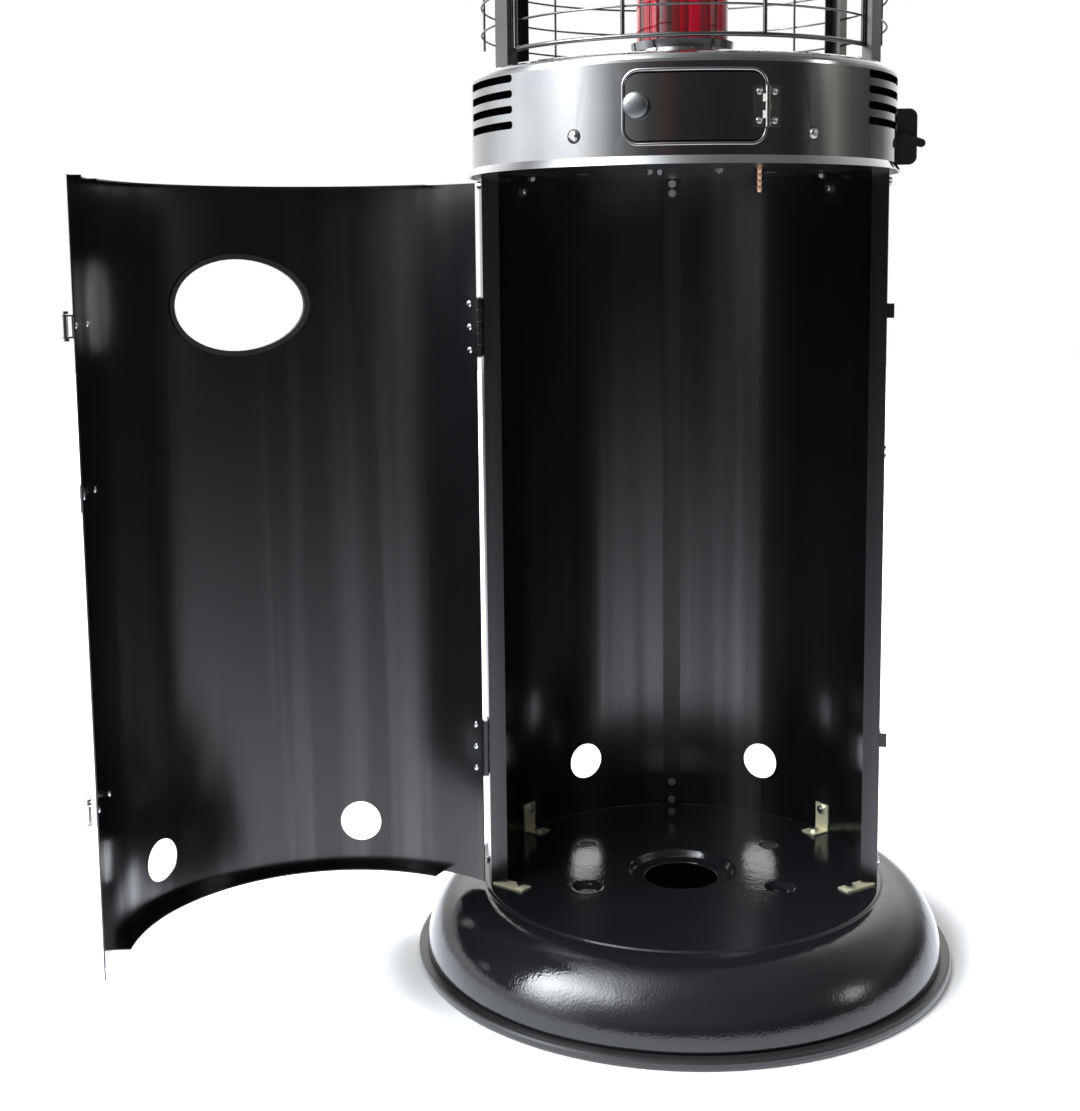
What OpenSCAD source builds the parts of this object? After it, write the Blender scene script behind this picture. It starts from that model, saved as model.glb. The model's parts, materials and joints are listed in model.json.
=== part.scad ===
/* [Base] */
// Outer radius of the edge trim on the floor
base_trim_r = 274; // [262:1:300]
// Height of the edge trim
base_trim_h = 10; // [8:0.5:14]
// Radius of the dome at its foot
base_dome_r = 264; // [255:1:266]
// Height of the cabinet floor above the ground
base_floor_z = 81; // [70:1:110]
// Radius of the flat cabinet floor
base_floor_r = 203; // [203:0.5:206]
// Drop from the floor to the start of the dome
base_step = 3; // [2:0.5:5]
// Thickness of the base sheet
base_sheet = 1.5; // [1:0.1:2]
// Diameter of the pressed recess in the middle of the floor
recess_d = 106; // [90:1:120]
// Depth of the pressed recess
recess_depth = 8; // [4:0.5:12]
// Diameter of the hole in the recess
recess_hole_d = 76; // [50:1:84]
// Diameter of the two drain holes
floor_hole_d = 20; // [12:1:26]
// Sideways place of the drain holes
floor_hole_x = 98; // [85:1:110]
// Place of the drain holes behind the middle
floor_hole_y = 66; // [50:1:80]
// Diameter of the two pressed dimples
dimple_d = 26; // [16:1:30]
// Sideways place of the dimples
dimple_x = 97; // [85:1:110]
// Place of the dimples in front of the middle
dimple_y = 51; // [40:1:65]

/* [Cabinet] */
// Outer radius of the cabinet shell
shell_r = 200; // [198:0.5:201]
// Thickness of all thin steel sheet
sheet = 1.2; // [0.9:0.1:1.4]
// Height of the shell's top edge
shell_top_z = 798; // [780:1:830]
// Distance of the shell's front edges ahead of the axis
front_edge_y = 45; // [40:1:46]
// Width of the inward flange at each front edge
flange_w = 16.4; // [12:0.2:20]
// Width of the strip behind the rear seam
seam_w = 19; // [14:1:26]
// Diameter of the round vents in the shell
shell_vent_d = 40; // [26:1:50]
// Azimuth of the shell vents, from the front
shell_vent_az = 150; // [140:1:158]
// Height of the shell vents
shell_vent_z = 141; // [125:1:180]
// Azimuth of the rear brackets
rear_bracket_az = 125; // [112:1:132]
// Azimuth of the front brackets
front_bracket_az = 82; // [81:0.5:86]
// Width of the angle brackets
bracket_w = 19; // [14:1:24]
// Height of the angle brackets
bracket_h = 30; // [24:1:36]
// Reach of a bracket's foot
bracket_foot = 22; // [18:1:26]
// Thickness of the brackets
bracket_t = 1.5; // [1.2:0.1:2]
// Sideways place of the front foot bolts
front_foot_x = 165; // [162:0.5:167]
// Place of the front foot bolts ahead of the axis
front_foot_y = 56; // [54:0.5:57]
// Height of the lower bracket bolts above the floor
low_bolt_rise = 24; // [18:1:26]
// Drop of the upper bracket bolts below the shell's top
high_bolt_drop = 16; // [12:1:18]
// Radius of the bolt shanks
bolt_r = 2.5; // [2:0.1:3]

/* [Door] */
// Outer radius of the door skin
door_r = 204.5; // [204.2:0.1:205]
// Gap between the cabinet floor and the door
door_bottom_gap = 3; // [2:0.5:8]
// Height of the door
door_h = 700; // [680:1:702]
// Half of the door's angle round the cabinet
door_half_az = 75.5; // [74.5:0.1:75.6]
// Width of the door's inward lips
lip_w = 18; // [10:0.5:19]
// Angle from closed to the open position that is drawn
door_open = 144; // [100:1:150]
// Distance of the hinge pin from the cabinet's axis
pin_circle_r = 204.2; // [203.8:0.1:204.6]
// Distance of the hinge pin ahead of the axis
pin_y = 47.5; // [47:0.1:48]
// Radius of the hinge pins
pin_r = 1.5; // [1.2:0.05:1.6]
// Radius of the hinge knuckles
knuckle_r = 3.1; // [2.7:0.05:3.2]
// Length of each cabinet hinge
hinge_len = 56; // [46:1:70]
// Middle height of the upper hinge and lower hinge above the floor
upper_hinge_rise = 565; // [520:1:600]
lower_hinge_rise = 143.5; // [110:0.5:200]
// Width of the hinge leaves
leaf_w = 13; // [10:0.5:14]
// Half width of the oval window
porthole_a = 68; // [50:1:74]
// Half height of the oval window
porthole_b = 46.5; // [30:0.5:50]
// Azimuth of the oval window on the closed door
porthole_az = -4; // [-6:0.5:2]
// Height of the oval window above the floor
porthole_rise = 588; // [560:1:600]
// Diameter of the door's round vents
door_vent_d = 42; // [30:1:50]
// Angle from the window's middle to each round vent
door_vent_az = 31.4; // [26:0.1:36]
// Height of the door's round vents above the floor
door_vent_rise = 50; // [40:1:70]

/* [Latches] */
// Azimuth of the latch pivots on the closed door
latch_az = 69; // [68:0.5:70]
// Height of the upper latch above the floor
upper_latch_rise = 577; // [540:1:600]
// Height of the lower latch above the floor
lower_latch_rise = 147.5; // [110:0.5:200]
// Height of a latch's base plate
latch_h = 20; // [18:0.5:24]
// Distance of the latch pivot from the door skin
latch_pivot_out = 7; // [6.6:0.1:8]
// Length of the latch lever
latch_lever_len = 34; // [28:1:38]
// Diameter of the latch wire
bail_d = 2.4; // [2:0.1:2.6]

/* [Control ring] */
// Outer radius of the control ring
ring_r = 206; // [205.6:0.1:207]
// Height of the ring's lower lip above the floor
ring_low_rise = 709.6; // [708:0.2:712]
// Outer radius of the ring's flared lip
ring_lip_r = 211; // [208:0.5:215]
// Height of the ring from its lip to its top
ring_h = 96.4; // [92:0.2:110]
// Radius of the ring's rounded shoulder
shoulder_r = 10; // [6:0.5:14]
// Inner radius of the ring's top
ring_top_in_r = 168; // [160:1:170]
// Height of one vent slot
slot_h = 7; // [5:0.5:8]
// Distance between vent slots
slot_pitch = 13.8; // [12:0.1:14.5]
// Drop from the ring's top to the first slot
slot_drop = 14.1; // [13:0.1:16]
// Azimuth where the slots start
slot_az_0 = 52; // [48:0.5:56]
// Azimuth where the slots end
slot_az_1 = 78; // [70:0.5:80]
// Azimuth of the ring's screws
ring_screw_az = 30.4; // [26:0.1:34]
// Width of the control door
control_door_w = 122.0; // [110:0.2:134]
// Height of the control door
control_door_h = 59; // [56:0.5:70]
// Corner radius of the control door
control_corner_r = 12; // [6:0.5:16]
// Gap round the control door
control_gap = 1.2; // [1:0.1:2]
// Azimuth of the control door's knob
control_knob_az = -13.9; // [-14.5:0.1:-10]
// Diameter of the control door's knob
control_knob_d = 23; // [16:0.5:26]
// Length of the control door's hinge
control_hinge_len = 35; // [28:0.5:44]

/* [Controls and gas] */
// Distance of the control panel ahead of the axis
panel_y = 178; // [174:0.5:180]
// Width of the control panel
panel_w = 136; // [120:1:140]
// Place of the gas knob to the left of the middle
gas_knob_x = 26; // [22:0.5:30]
// Diameter of the gas knob
gas_knob_d = 38; // [30:0.5:40]
// Place of the igniter button to the right of the middle
button_x = 34; // [30:0.5:40]
// Diameter of the igniter button
button_d = 16; // [12:0.5:18]
// Push travel of the gas knob
knob_travel = 4; // [2:0.5:4]
// Push travel of the igniter button
button_travel = 6; // [4:0.5:6]
// Place of the hose barb to the right of the axis
barb_x = 76; // [70:1:84]
// Diameter of the hose barb
barb_d = 8; // [6:0.5:10]
// Radius of the burner cup
cup_r = 34; // [28:0.5:34]
// Outer diameter of the gas pipes
pipe_d = 8; // [6:0.5:9]

/* [Tube and guard] */
// Outer diameter of the glass tube
tube_d = 89; // [84:0.5:92]
// Wall of the glass tube
tube_wall = 3; // [2:0.25:4]
// Height from the ring's top to the top plate
guard_h = 813; // [600:1:900]
// Width of a guard post
post_w = 24; // [18:0.5:28]
// Depth of a guard post
post_depth = 9; // [7:0.5:10]
// Radius of the guard posts' outer face
post_out_r = 197.5; // [196:0.1:198]
// Azimuth of the two front posts
front_post_az = 60; // [56:0.5:62]
// Azimuth of the two rear posts
rear_post_az = 122; // [118:0.5:126]
// Diameter of the front guard's frame rods
rod_d = 4.2; // [3.6:0.1:5]
// Diameter of the front guard's inner rods
inner_rod_d = 3.8; // [3:0.1:4.6]
// Diameter of the thin guard wires
wire_d = 2; // [1.6:0.1:2.4]
// Distance between the thin guard wires
wire_pitch = 26; // [20:0.5:40]
// Height of the front guard's bottom rod above the ring
rod_rise = 14; // [10:0.5:20]

/* [Top] */
// Radius of the reflector hat
hat_r = 265; // [240:1:300]
// Height of the spacers under the hat
spacer_h = 98; // [70:1:120]
// Drop of the hat from its flat middle to its rim
hat_drop = 28; // [15:1:45]
// Height of the hat's rolled rim
hat_rim_h = 20; // [10:1:30]

/* [Hidden] */
$fn = 96;
// Overrun of every cut past the faces it opens
cut = 2;
// Air between two welded or resting pieces of round wire
weld_gap = 0.03;
// Running clearance of a pin or spindle in its bore
run_gap = 0.05;
// Clearance round a bolt shank
bolt_gap = 0.05;
// Smallest air between pieces that move past each other
move_gap = 0.4;

// Base shape
dome_top_r = base_floor_r + base_step;
dome_top_z = base_floor_z - base_step;
dome_power_share = 1.05;
dome_steps = 14;
trim_w = 12;
pan_lip = 5;
dimple_depth = 4;
recess_slope = 3;

// Cabinet shape
shell_in_r = shell_r - sheet;
shell_h = shell_top_z - base_floor_z;
flange_clear = 3;
seam_gap = 0.2;
front_edge_x = sqrt(shell_r * shell_r - front_edge_y * front_edge_y);
front_bracket_tail = 36;
front_bracket_w = 14;
front_bracket_nose = 8;
// Direction of the front bracket's foot, from its bolt to its upright
front_foot_turn = 35;
foot_bolt_in = 13;
bolt_head_r = 5;
bolt_head_h = 2.6;
nut_r = 4.6;
nut_h = 3.4;
seam_bolt_low = 7;
seam_bolt_high = 28;
edge_rivet_r = 1.4;
edge_rivet_rise = 435;
edge_rivet_pitch = 8;
catch_az = 80.2;
catch_w = 16;
catch_h = 14;
catch_out = 6.5;
deck_bolt_azs = [-130, -150, 114];
deck_bolt_circle_r = 41.2;

// Door shape
door_in_r = door_r - sheet;
door_z0 = base_floor_z + door_bottom_gap;
door_z1 = door_z0 + door_h;
pin_x = sqrt(pin_circle_r * pin_circle_r - pin_y * pin_y);
lip_az_0 = -61;
lip_az_1 = 57.5;
tab_az_0 = 59;
tab_az_1 = 74;
knuckles = 5;
knuckle_gap = 0.3;
upper_hinge_z = base_floor_z + upper_hinge_rise;
lower_hinge_z = base_floor_z + lower_hinge_rise;
hinge_rivet_pitch = 22.5;
hinge_rivet_in = 9;
rivet_r = 1.6;
rivet_head_r = 3.2;
rivet_head_h = 1.2;
porthole_z = base_floor_z + porthole_rise;
trim_grip = 3.5;
trim_wall = 1.6;
door_vent_z = base_floor_z + door_vent_rise;
plate_az = 59;
plate_half_az = 8;
plate_h = 24;
plate_rise = 429;
plate_z = base_floor_z + plate_rise;
pair_half_az = 6.2;

// Latch shape, in a frame with X outward, Y towards the free edge and Z up
latch_sheet = 1.2;
latch_pivot_r = door_r + latch_pivot_out;
latch_pin_r = 1.5;
latch_tube_r = 2.7;
latch_ear_t = 1.5;
latch_ear_r = 3.6;
latch_in = latch_h / 2 - latch_ear_t;
latch_lever_h = 2 * (latch_in - run_gap * 4);
stub_back = 6.6;
stub_r = 1.2;
stub_eye_r = 2.2;
bail_r = bail_d / 2;
bail_half_h = latch_h / 2 + bail_r + move_gap;
bail_rest_turn = 5;
// Place of the wire's cross bar when it is hooked behind the catch
bar_r = shell_r + catch_out - bail_r / 2;
bar_turn = catch_az + (sheet / 2 + bail_r + move_gap) / shell_r * 180 / PI - latch_az;
bail_len = norm([bar_r * cos(bar_turn) - latch_pivot_r, bar_r * sin(bar_turn) + stub_back]);
latch_base_az_0 = -19.5;
latch_base_az_1 = 1;
upper_latch_z = base_floor_z + upper_latch_rise;
lower_latch_z = base_floor_z + lower_latch_rise;

// Ring shape
ring_in_r = ring_r - sheet;
ring_z0 = base_floor_z + ring_low_rise;
ring_z1 = ring_z0 + ring_h;
ring_flare_h = 7.4;
shoulder_steps = 6;
slot_count = 4;
deck_rim_h = 28;
deck_top_z = shell_top_z + sheet;
ring_screw_z = deck_top_z + deck_rim_h / 2 + sheet * 3;
screw_r = 2;
screw_head_r = 5.4;
screw_head_h = 2.2;
control_rise = 48.3;
control_z = ring_z0 + control_rise;
control_az = asin(control_door_w / 2 / ring_r);
control_knob_out = 12;
control_pin_r = 1.25;
control_knuckle_r = 2.3;
control_pin_out = 2.4;
control_pin_az = control_az + 0.2;
control_leaf_w = 12.3;
control_leaf_gap = control_knuckle_r + move_gap;
leaf_screw_in = 7;
leaf_screw_pitch = 24.5;
top_plate_r = 194;
air_hole_r = 42;

// Controls and gas
panel_h = 80;
panel_foot = 14;
control_row_rise = 39;
control_row_z = deck_top_z + control_row_rise;
valve_w = 40;
valve_depth = 36;
valve_h = 50;
valve_gap = 12;
spindle_r = 3;
spindle_len = 34;
knob_back_gap = knob_travel + 1;
knob_len = 16;
knob_pointer_w = 6;
knob_pointer_h = 3;
button_head_len = 9;
igniter_r = 11;
igniter_len = 46;
barb_len = 24;
barb_ribs = 4;
barb_hex_r = 9;
barb_hex_h = 6;
barb_bore_r = 2.4;
pipe_r = pipe_d / 2;
inlet_rise = 20;
feed_rise = 18;
inlet_z = deck_top_z + inlet_rise;
feed_z = deck_top_z + feed_rise;
cup_h = 74;
cup_base_r = 46;
cup_wall = 2;
head_h = 4;
head_hole_r = 1.7;
pilot_circle_r = 38;
pilot_r = 2;
pilot_low_rise = 40;
pilot_high_rise = 92;
pilot_z0 = deck_top_z + pilot_low_rise;
pilot_z1 = deck_top_z + pilot_high_rise;
lead_r = 1.25;
pipe_bend_r = pipe_d * 1.25;
lead_bend_r = lead_r * 3;
lead_rise = 34;
lead_z = deck_top_z + lead_rise;
tilt_w = 34;
tilt_h = 24;
tilt_x = 96;
tilt_y = 46;

// Tube, guard and top
plate_top_z = ring_z1 - sheet;
socket_low_r = 53.5;
socket_high_r = 49;
socket_h = 31;
socket_flange_r = 64;
socket_base_h = 3;
ledge_r = 41;
gasket_t = 1.5;
tube_r = tube_d / 2;
tube_end_rise = 8;
tube_low_z = plate_top_z + tube_end_rise;
top_z = ring_z1 + guard_h;
tube_high_z = top_z - tube_end_rise;
gasket_h = 18;
foot_len = 16;
foot_bolt_r = 179;
guard_r = 190.6;
rod_r = rod_d / 2;
inner_rod_r = inner_rod_d / 2;
wire_r = wire_d / 2;
front_rod_az = front_post_az - asin((post_w / 2 + rod_r + weld_gap) / guard_r);
inner_rod_az = 18.8;
front_wire_r = guard_r - inner_rod_r - wire_r - weld_gap;
front_rod_z0 = ring_z1 + rod_rise;
front_rod_z1 = top_z - rod_rise;
front_wires = floor((front_rod_z1 - front_rod_z0 - wire_pitch / 2) / wire_pitch);
side_wire_r = 195;
side_rod_r = 1.2;
side_rod_az = 90;
rear_rod_az = 139;
side_wire_z0 = ring_z1 + 1.5 * wire_pitch;
side_wires = floor((top_z - side_wire_z0 - wire_pitch / 2) / wire_pitch) + 1;
post_half_az = asin((post_w / 2 + weld_gap) / side_wire_r);
hat_flat_r = 140;
spacer_circle_r = 120;
spacer_r = 6;
hat_z = top_z + sheet + spacer_h;
hat_rim_r = 5;

// Side bracket
side_rise = 8.4;
side_z0 = ring_z0 + side_rise;
side_h = 54;
side_out = 23;
side_corner_r = 8;
side_sheet = 2;
side_pivot_out = 8.4;
side_pivot_rise = 26.4;
side_pin_r = 2;
side_boss_r = 5.5;
side_lever_t = 4;
side_lever_len = 19;
side_lever_w = 8;
side_lever_turn = 18;

// A frame turned so that X points outward at an azimuth counted from the front
module at_azimuth(a) {
    rotate([0, 0, a - 90]) children();
}

// A piece of cylindrical wall between two azimuths
module arc_wall(r_in, r_out, z0, z1, a0, a1) {
    rotate([0, 0, a0 - 90]) rotate_extrude(angle = a1 - a0)
        translate([r_in, z0]) square([r_out - r_in, z1 - z0]);
}

// A round wire bent along an arc
module arc_wire(r_path, r_wire, z, a0, a1) {
    rotate([0, 0, a0 - 90]) rotate_extrude(angle = a1 - a0)
        translate([r_path, z]) circle(r = r_wire, $fn = 24);
}

// A full ring with a rectangular section
module ring(r_in, r_out, z0, z1) {
    rotate_extrude() translate([r_in, z0]) square([r_out - r_in, z1 - z0]);
}

// A radial hole through a wall of a given outer radius
module radial_hole(a, z, r_hole, r_wall, deep) {
    at_azimuth(a) translate([r_wall - deep, 0, z]) rotate([0, 90, 0])
        cylinder(r = r_hole, h = deep + cut * 6, $fn = 48);
}

// A radial bolt with its head outside and its nut inside
module radial_bolt(a, z, r_wall, stack) {
    at_azimuth(a) translate([r_wall, 0, z]) rotate([0, 90, 0]) {
        cylinder(r1 = bolt_head_r, r2 = bolt_head_r * 0.6, h = bolt_head_h, $fn = 32);
        translate([0, 0, -stack - nut_h * 1.3]) cylinder(r = bolt_r, h = stack + nut_h * 1.3, $fn = 32);
        translate([0, 0, -stack - nut_h - 2 * weld_gap]) cylinder(r = nut_r, h = nut_h, $fn = 6);
    }
}

// A vertical bolt with a hexagon head above and a nut below
module upright_bolt(z_top, stack) {
    translate([0, 0, z_top]) cylinder(r = nut_r, h = nut_h, $fn = 6);
    translate([0, 0, z_top - stack - nut_h * 1.3]) cylinder(r = bolt_r, h = stack + nut_h * 1.3, $fn = 32);
    translate([0, 0, z_top - stack - nut_h]) cylinder(r = nut_r, h = nut_h, $fn = 6);
}

// A small screw with a flat cone head, lying on a wall
module wall_screw(a, z, r_wall, stack, r_head = screw_head_r) {
    at_azimuth(a) translate([r_wall, 0, z]) rotate([0, 90, 0]) {
        cylinder(r1 = r_head, r2 = r_head * 0.62, h = screw_head_h, $fn = 32);
        translate([0, 0, -stack]) cylinder(r = screw_r, h = stack, $fn = 32);
    }
}

// A rivet through the door skin with a head on each side
module skin_rivet(a, z, outer_stack = 0) {
    at_azimuth(a) translate([door_in_r - rivet_head_h - weld_gap, 0, z]) rotate([0, 90, 0]) {
        cylinder(r1 = rivet_head_r * 0.55, r2 = rivet_head_r, h = rivet_head_h, $fn = 24);
        cylinder(r = rivet_r, h = rivet_head_h * 2 + weld_gap + sheet + outer_stack, $fn = 24);
        translate([0, 0, rivet_head_h + weld_gap + sheet + outer_stack])
            cylinder(r1 = rivet_head_r, r2 = rivet_head_r * 0.55, h = rivet_head_h, $fn = 24);
    }
}

// A rounded rectangle made of straight sides and true corner arcs
module round_rect(w, h, r) {
    square([w - 2 * r, h], center = true);
    square([w, h - 2 * r], center = true);
    for (x = [-1, 1], y = [-1, 1])
        translate([x * (w / 2 - r), y * (h / 2 - r)]) circle(r = r, $fn = 32);
}

// An oval prism that points outward at an azimuth
module oval_prism(a, z, half_w, half_h, r0, r1) {
    at_azimuth(a) translate([r0, 0, z]) rotate([0, 90, 0]) linear_extrude(r1 - r0)
        polygon([for (i = [0:47]) [-half_h * sin(i * 7.5), half_w * cos(i * 7.5)]]);
}

// A pipe along straight runs, with a bend of a given radius at each corner
module pipe_run(points, r, bend_r) {
    last = len(points) - 1;
    u = [for (i = [0:last - 1]) (points[i + 1] - points[i]) / norm(points[i + 1] - points[i])];
    turn = [for (i = [0:last]) i == 0 || i == last ? 0 : acos(u[i - 1] * u[i])];
    back = [for (a = turn) bend_r * tan(a / 2)];
    for (i = [0:last - 1])
        translate(points[i] + u[i] * back[i]) rotate([0, acos(u[i][2]), atan2(u[i][1], u[i][0])])
            cylinder(r = r, h = norm(points[i + 1] - points[i]) - back[i] - back[i + 1], $fn = 32);
    for (i = [1:last - 1]) {
        a = u[i - 1];
        m = (u[i] - a * cos(turn[i])) / sin(turn[i]);
        n = cross(a, m);
        o = points[i] - a * back[i] + m * bend_r;
        multmatrix([[-m[0], a[0], n[0], o[0]], [-m[1], a[1], n[1], o[1]], [-m[2], a[2], n[2], o[2]], [0, 0, 0, 1]])
            rotate_extrude(angle = turn[i], $fn = 48) translate([bend_r, 0]) circle(r = r, $fn = 32);
    }
}

// Places of the radial bolts that join the shell to its brackets
function shell_bolts() = [
    [rear_bracket_az, base_floor_z + low_bolt_rise],
    [rear_bracket_az, shell_top_z - high_bolt_drop],
    [front_bracket_az, base_floor_z + low_bolt_rise * 0.8],
    [front_bracket_az, shell_top_z - high_bolt_drop]];
seam_bolt_zs = [base_floor_z + seam_bolt_low, base_floor_z + seam_bolt_high,
    shell_top_z - high_bolt_drop, shell_top_z - nut_r - sheet];

// Points of the base's dome, pulled in by a wall
function dome_points(t) = [for (i = [0:dome_steps])
    let (a = 90 * i / dome_steps)
    [dome_top_r + (base_dome_r - t - dome_top_r) * pow(sin(a), dome_power_share),
     base_trim_h + base_sheet + (dome_top_z - t - base_trim_h - base_sheet) * pow(cos(a), dome_power_share)]];

module base_pan() {
    hole_r = recess_hole_d / 2;
    recess_r = recess_d / 2;
    z = base_floor_z;
    t = base_sheet;
    lip_r = base_trim_r - pan_lip;
    color([0.06, 0.06, 0.065]) difference() {
        union() {
            rotate_extrude() polygon(concat(
                [[hole_r, z - recess_depth], [recess_r - recess_slope, z - recess_depth],
                 [recess_r, z], [base_floor_r, z], [dome_top_r, dome_top_z]],
                [for (p = dome_points(0)) if (p[0] > dome_top_r + t / 2) p],
                [[base_dome_r, base_trim_h], [base_dome_r - t, base_trim_h]],
                [for (i = [0:dome_steps - 1]) let (p = dome_points(t)[dome_steps - 1 - i])
                    if (p[0] > dome_top_r + t / 2) p],
                [[dome_top_r - t / 2, dome_top_z - t], [base_floor_r - t / 2, z - t],
                 [recess_r + t / 2, z - t], [recess_r - recess_slope, z - recess_depth - t],
                 [hole_r, z - recess_depth - t]]));
            ring(min(base_dome_r - t, lip_r), max(base_dome_r, lip_r), base_trim_h, base_trim_h + t);
            for (x = [-1, 1]) translate([x * dimple_x, -dimple_y, z - dimple_depth - t])
                cylinder(r = dimple_d / 2 + t, h = dimple_depth + t / 2);
        }
        for (x = [-1, 1]) {
            translate([x * dimple_x, -dimple_y, z - dimple_depth])
                cylinder(r = dimple_d / 2, h = dimple_depth + cut);
            translate([x * floor_hole_x, floor_hole_y, z - t - cut])
                cylinder(r = floor_hole_d / 2, h = t + 2 * cut);
            translate([x * front_foot_x, -front_foot_y, z - t - cut])
                cylinder(r = bolt_r + bolt_gap, h = t + 2 * cut, $fn = 32);
            at_azimuth(x * rear_bracket_az) translate([shell_in_r - foot_bolt_in, 0, z - t - cut])
                cylinder(r = bolt_r + bolt_gap, h = t + 2 * cut, $fn = 32);
        }
    }
}

module base_edge_trim() {
    r = base_trim_r;
    h = base_trim_h;
    b = trim_w / 4;
    color([0.03, 0.03, 0.03]) rotate_extrude() polygon([
        [r - trim_w, 0], [r - b, 0], [r - b * 0.3, b * 0.3], [r, b], [r, h - b],
        [r - b * 0.3, h - b * 0.3], [r - b, h], [r - trim_w, h]]);
}

// One half of the shell, with its holes; side is 1 for the right half
module shell_half(side) {
    color([0.055, 0.055, 0.06]) mirror([side > 0 ? 0 : 1, 0, 0]) difference() {
        union() {
            intersection() {
                ring(shell_in_r, shell_r, base_floor_z, shell_top_z);
                translate([seam_gap / 2, -front_edge_y, base_floor_z - cut])
                    cube([shell_r + cut, shell_r + front_edge_y + cut, shell_h + 2 * cut]);
            }
            intersection() {
                translate([0, 0, base_floor_z]) cylinder(r = shell_in_r + sheet / 2, h = shell_h);
                translate([front_edge_x - flange_w, -front_edge_y, base_floor_z + flange_clear])
                    cube([flange_w, sheet, shell_h - flange_clear]);
            }
        }
        for (b = shell_bolts()) radial_hole(b[0], b[1], bolt_r + bolt_gap, shell_r, sheet * 4);
        for (z = seam_bolt_zs) radial_hole(180, z, bolt_r + bolt_gap, shell_r, sheet * 4);
        radial_hole(shell_vent_az, shell_vent_z, shell_vent_d / 2, shell_r, sheet * 10);
        if (side > 0) for (i = [0, 1])
            radial_hole(catch_az, base_floor_z + edge_rivet_rise + i * edge_rivet_pitch,
                edge_rivet_r + bolt_gap, shell_r, sheet * 4);
    }
}

module shell_left() { shell_half(-1); }
module shell_right() { shell_half(1); }

module rear_seam_strip() {
    half = asin(seam_w / 2 / shell_in_r);
    color([0.07, 0.07, 0.075]) difference() {
        arc_wall(shell_in_r - sheet, shell_in_r - weld_gap, base_floor_z, shell_top_z, 180 - half, 180 + half);
        for (z = seam_bolt_zs) radial_hole(180, z, bolt_r + bolt_gap, shell_r, sheet * 5);
    }
}

// An angle bracket's upright against the shell's inner face
module bracket_upright(a, z0, z1) {
    half = asin(bracket_w / 2 / shell_in_r);
    arc_wall(shell_in_r - bracket_t, shell_in_r, z0, z1, a - half, a + half);
}

// An angle bracket's foot, pointing to the axis
module bracket_foot_plate(a, z0) {
    intersection() {
        translate([0, 0, z0]) cylinder(r = shell_in_r - bracket_t / 2, h = bracket_t);
        at_azimuth(a) translate([shell_in_r - bracket_foot, -bracket_w / 2, z0])
            cube([bracket_foot, bracket_w, bracket_t]);
    }
}

module floor_brackets() {
    z = base_floor_z;
    color([0.75, 0.63, 0.35]) for (s = [-1, 1]) {
        difference() {
            union() {
                bracket_upright(s * rear_bracket_az, z, z + bracket_h);
                bracket_foot_plate(s * rear_bracket_az, z);
            }
            radial_hole(s * rear_bracket_az, z + low_bolt_rise, bolt_r + bolt_gap, shell_r, sheet * 8);
            at_azimuth(s * rear_bracket_az) translate([shell_in_r - foot_bolt_in, 0, z - cut])
                cylinder(r = bolt_r + bolt_gap, h = bracket_t + 2 * cut, $fn = 32);
        }
        mirror([s > 0 ? 0 : 1, 0, 0]) difference() {
            union() {
                bracket_upright(front_bracket_az, z + bracket_t / 2, z + bracket_h);
                intersection() {
                    translate([0, 0, z]) cylinder(r = shell_in_r - bracket_t / 2, h = bracket_t);
                    translate([front_foot_x, -front_foot_y, z]) rotate([0, 0, front_foot_turn])
                        translate([-front_bracket_nose, -front_bracket_w / 2, 0])
                            cube([front_bracket_nose + front_bracket_tail, front_bracket_w, bracket_t]);
                }
            }
            radial_hole(front_bracket_az, z + low_bolt_rise * 0.8, bolt_r + bolt_gap, shell_r, sheet * 8);
            translate([front_foot_x, -front_foot_y, z - cut])
                cylinder(r = bolt_r + bolt_gap, h = bracket_t + 2 * cut, $fn = 32);
        }
    }
}

module top_brackets() {
    z = shell_top_z;
    color([0.09, 0.09, 0.09]) for (a = [-rear_bracket_az, -front_bracket_az, front_bracket_az, rear_bracket_az])
        difference() {
            union() {
                bracket_upright(a, z - bracket_h, z);
                bracket_foot_plate(a, z - bracket_t);
            }
            radial_hole(a, z - high_bolt_drop, bolt_r + bolt_gap, shell_r, sheet * 8);
            at_azimuth(a) translate([shell_in_r - foot_bolt_in, 0, z - bracket_t - cut])
                cylinder(r = bolt_r + bolt_gap, h = bracket_t + 2 * cut, $fn = 32);
        }
}

module cabinet_bolts() {
    color([0.72, 0.72, 0.7]) {
        for (s = [-1, 1]) {
            for (b = shell_bolts()) radial_bolt(s * b[0], b[1], shell_r, sheet + bracket_t);
            at_azimuth(s * rear_bracket_az) translate([shell_in_r - foot_bolt_in, 0, 0])
                upright_bolt(base_floor_z + bracket_t, bracket_t + base_sheet);
            translate([s * front_foot_x, -front_foot_y, 0])
                upright_bolt(base_floor_z + bracket_t, bracket_t + base_sheet);
            for (a = [front_bracket_az, rear_bracket_az]) at_azimuth(s * a)
                translate([shell_in_r - foot_bolt_in, 0, 0]) upright_bolt(deck_top_z, bracket_t + sheet);
        }
        for (z = seam_bolt_zs) radial_bolt(180, z, shell_r, 2 * sheet);
        for (a = deck_bolt_azs) at_azimuth(a) translate([deck_bolt_circle_r, 0, 0])
            upright_bolt(deck_top_z + sheet, 2 * sheet);
        for (i = [0, 1]) at_azimuth(catch_az)
            translate([shell_in_r - edge_rivet_r, 0, base_floor_z + edge_rivet_rise + i * edge_rivet_pitch])
                rotate([0, 90, 0]) {
                    cylinder(r = edge_rivet_r, h = sheet + 2 * edge_rivet_r, $fn = 24);
                    translate([0, 0, sheet + edge_rivet_r]) cylinder(r = edge_rivet_r * 1.8, h = edge_rivet_r, $fn = 24);
                }
    }
}

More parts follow.
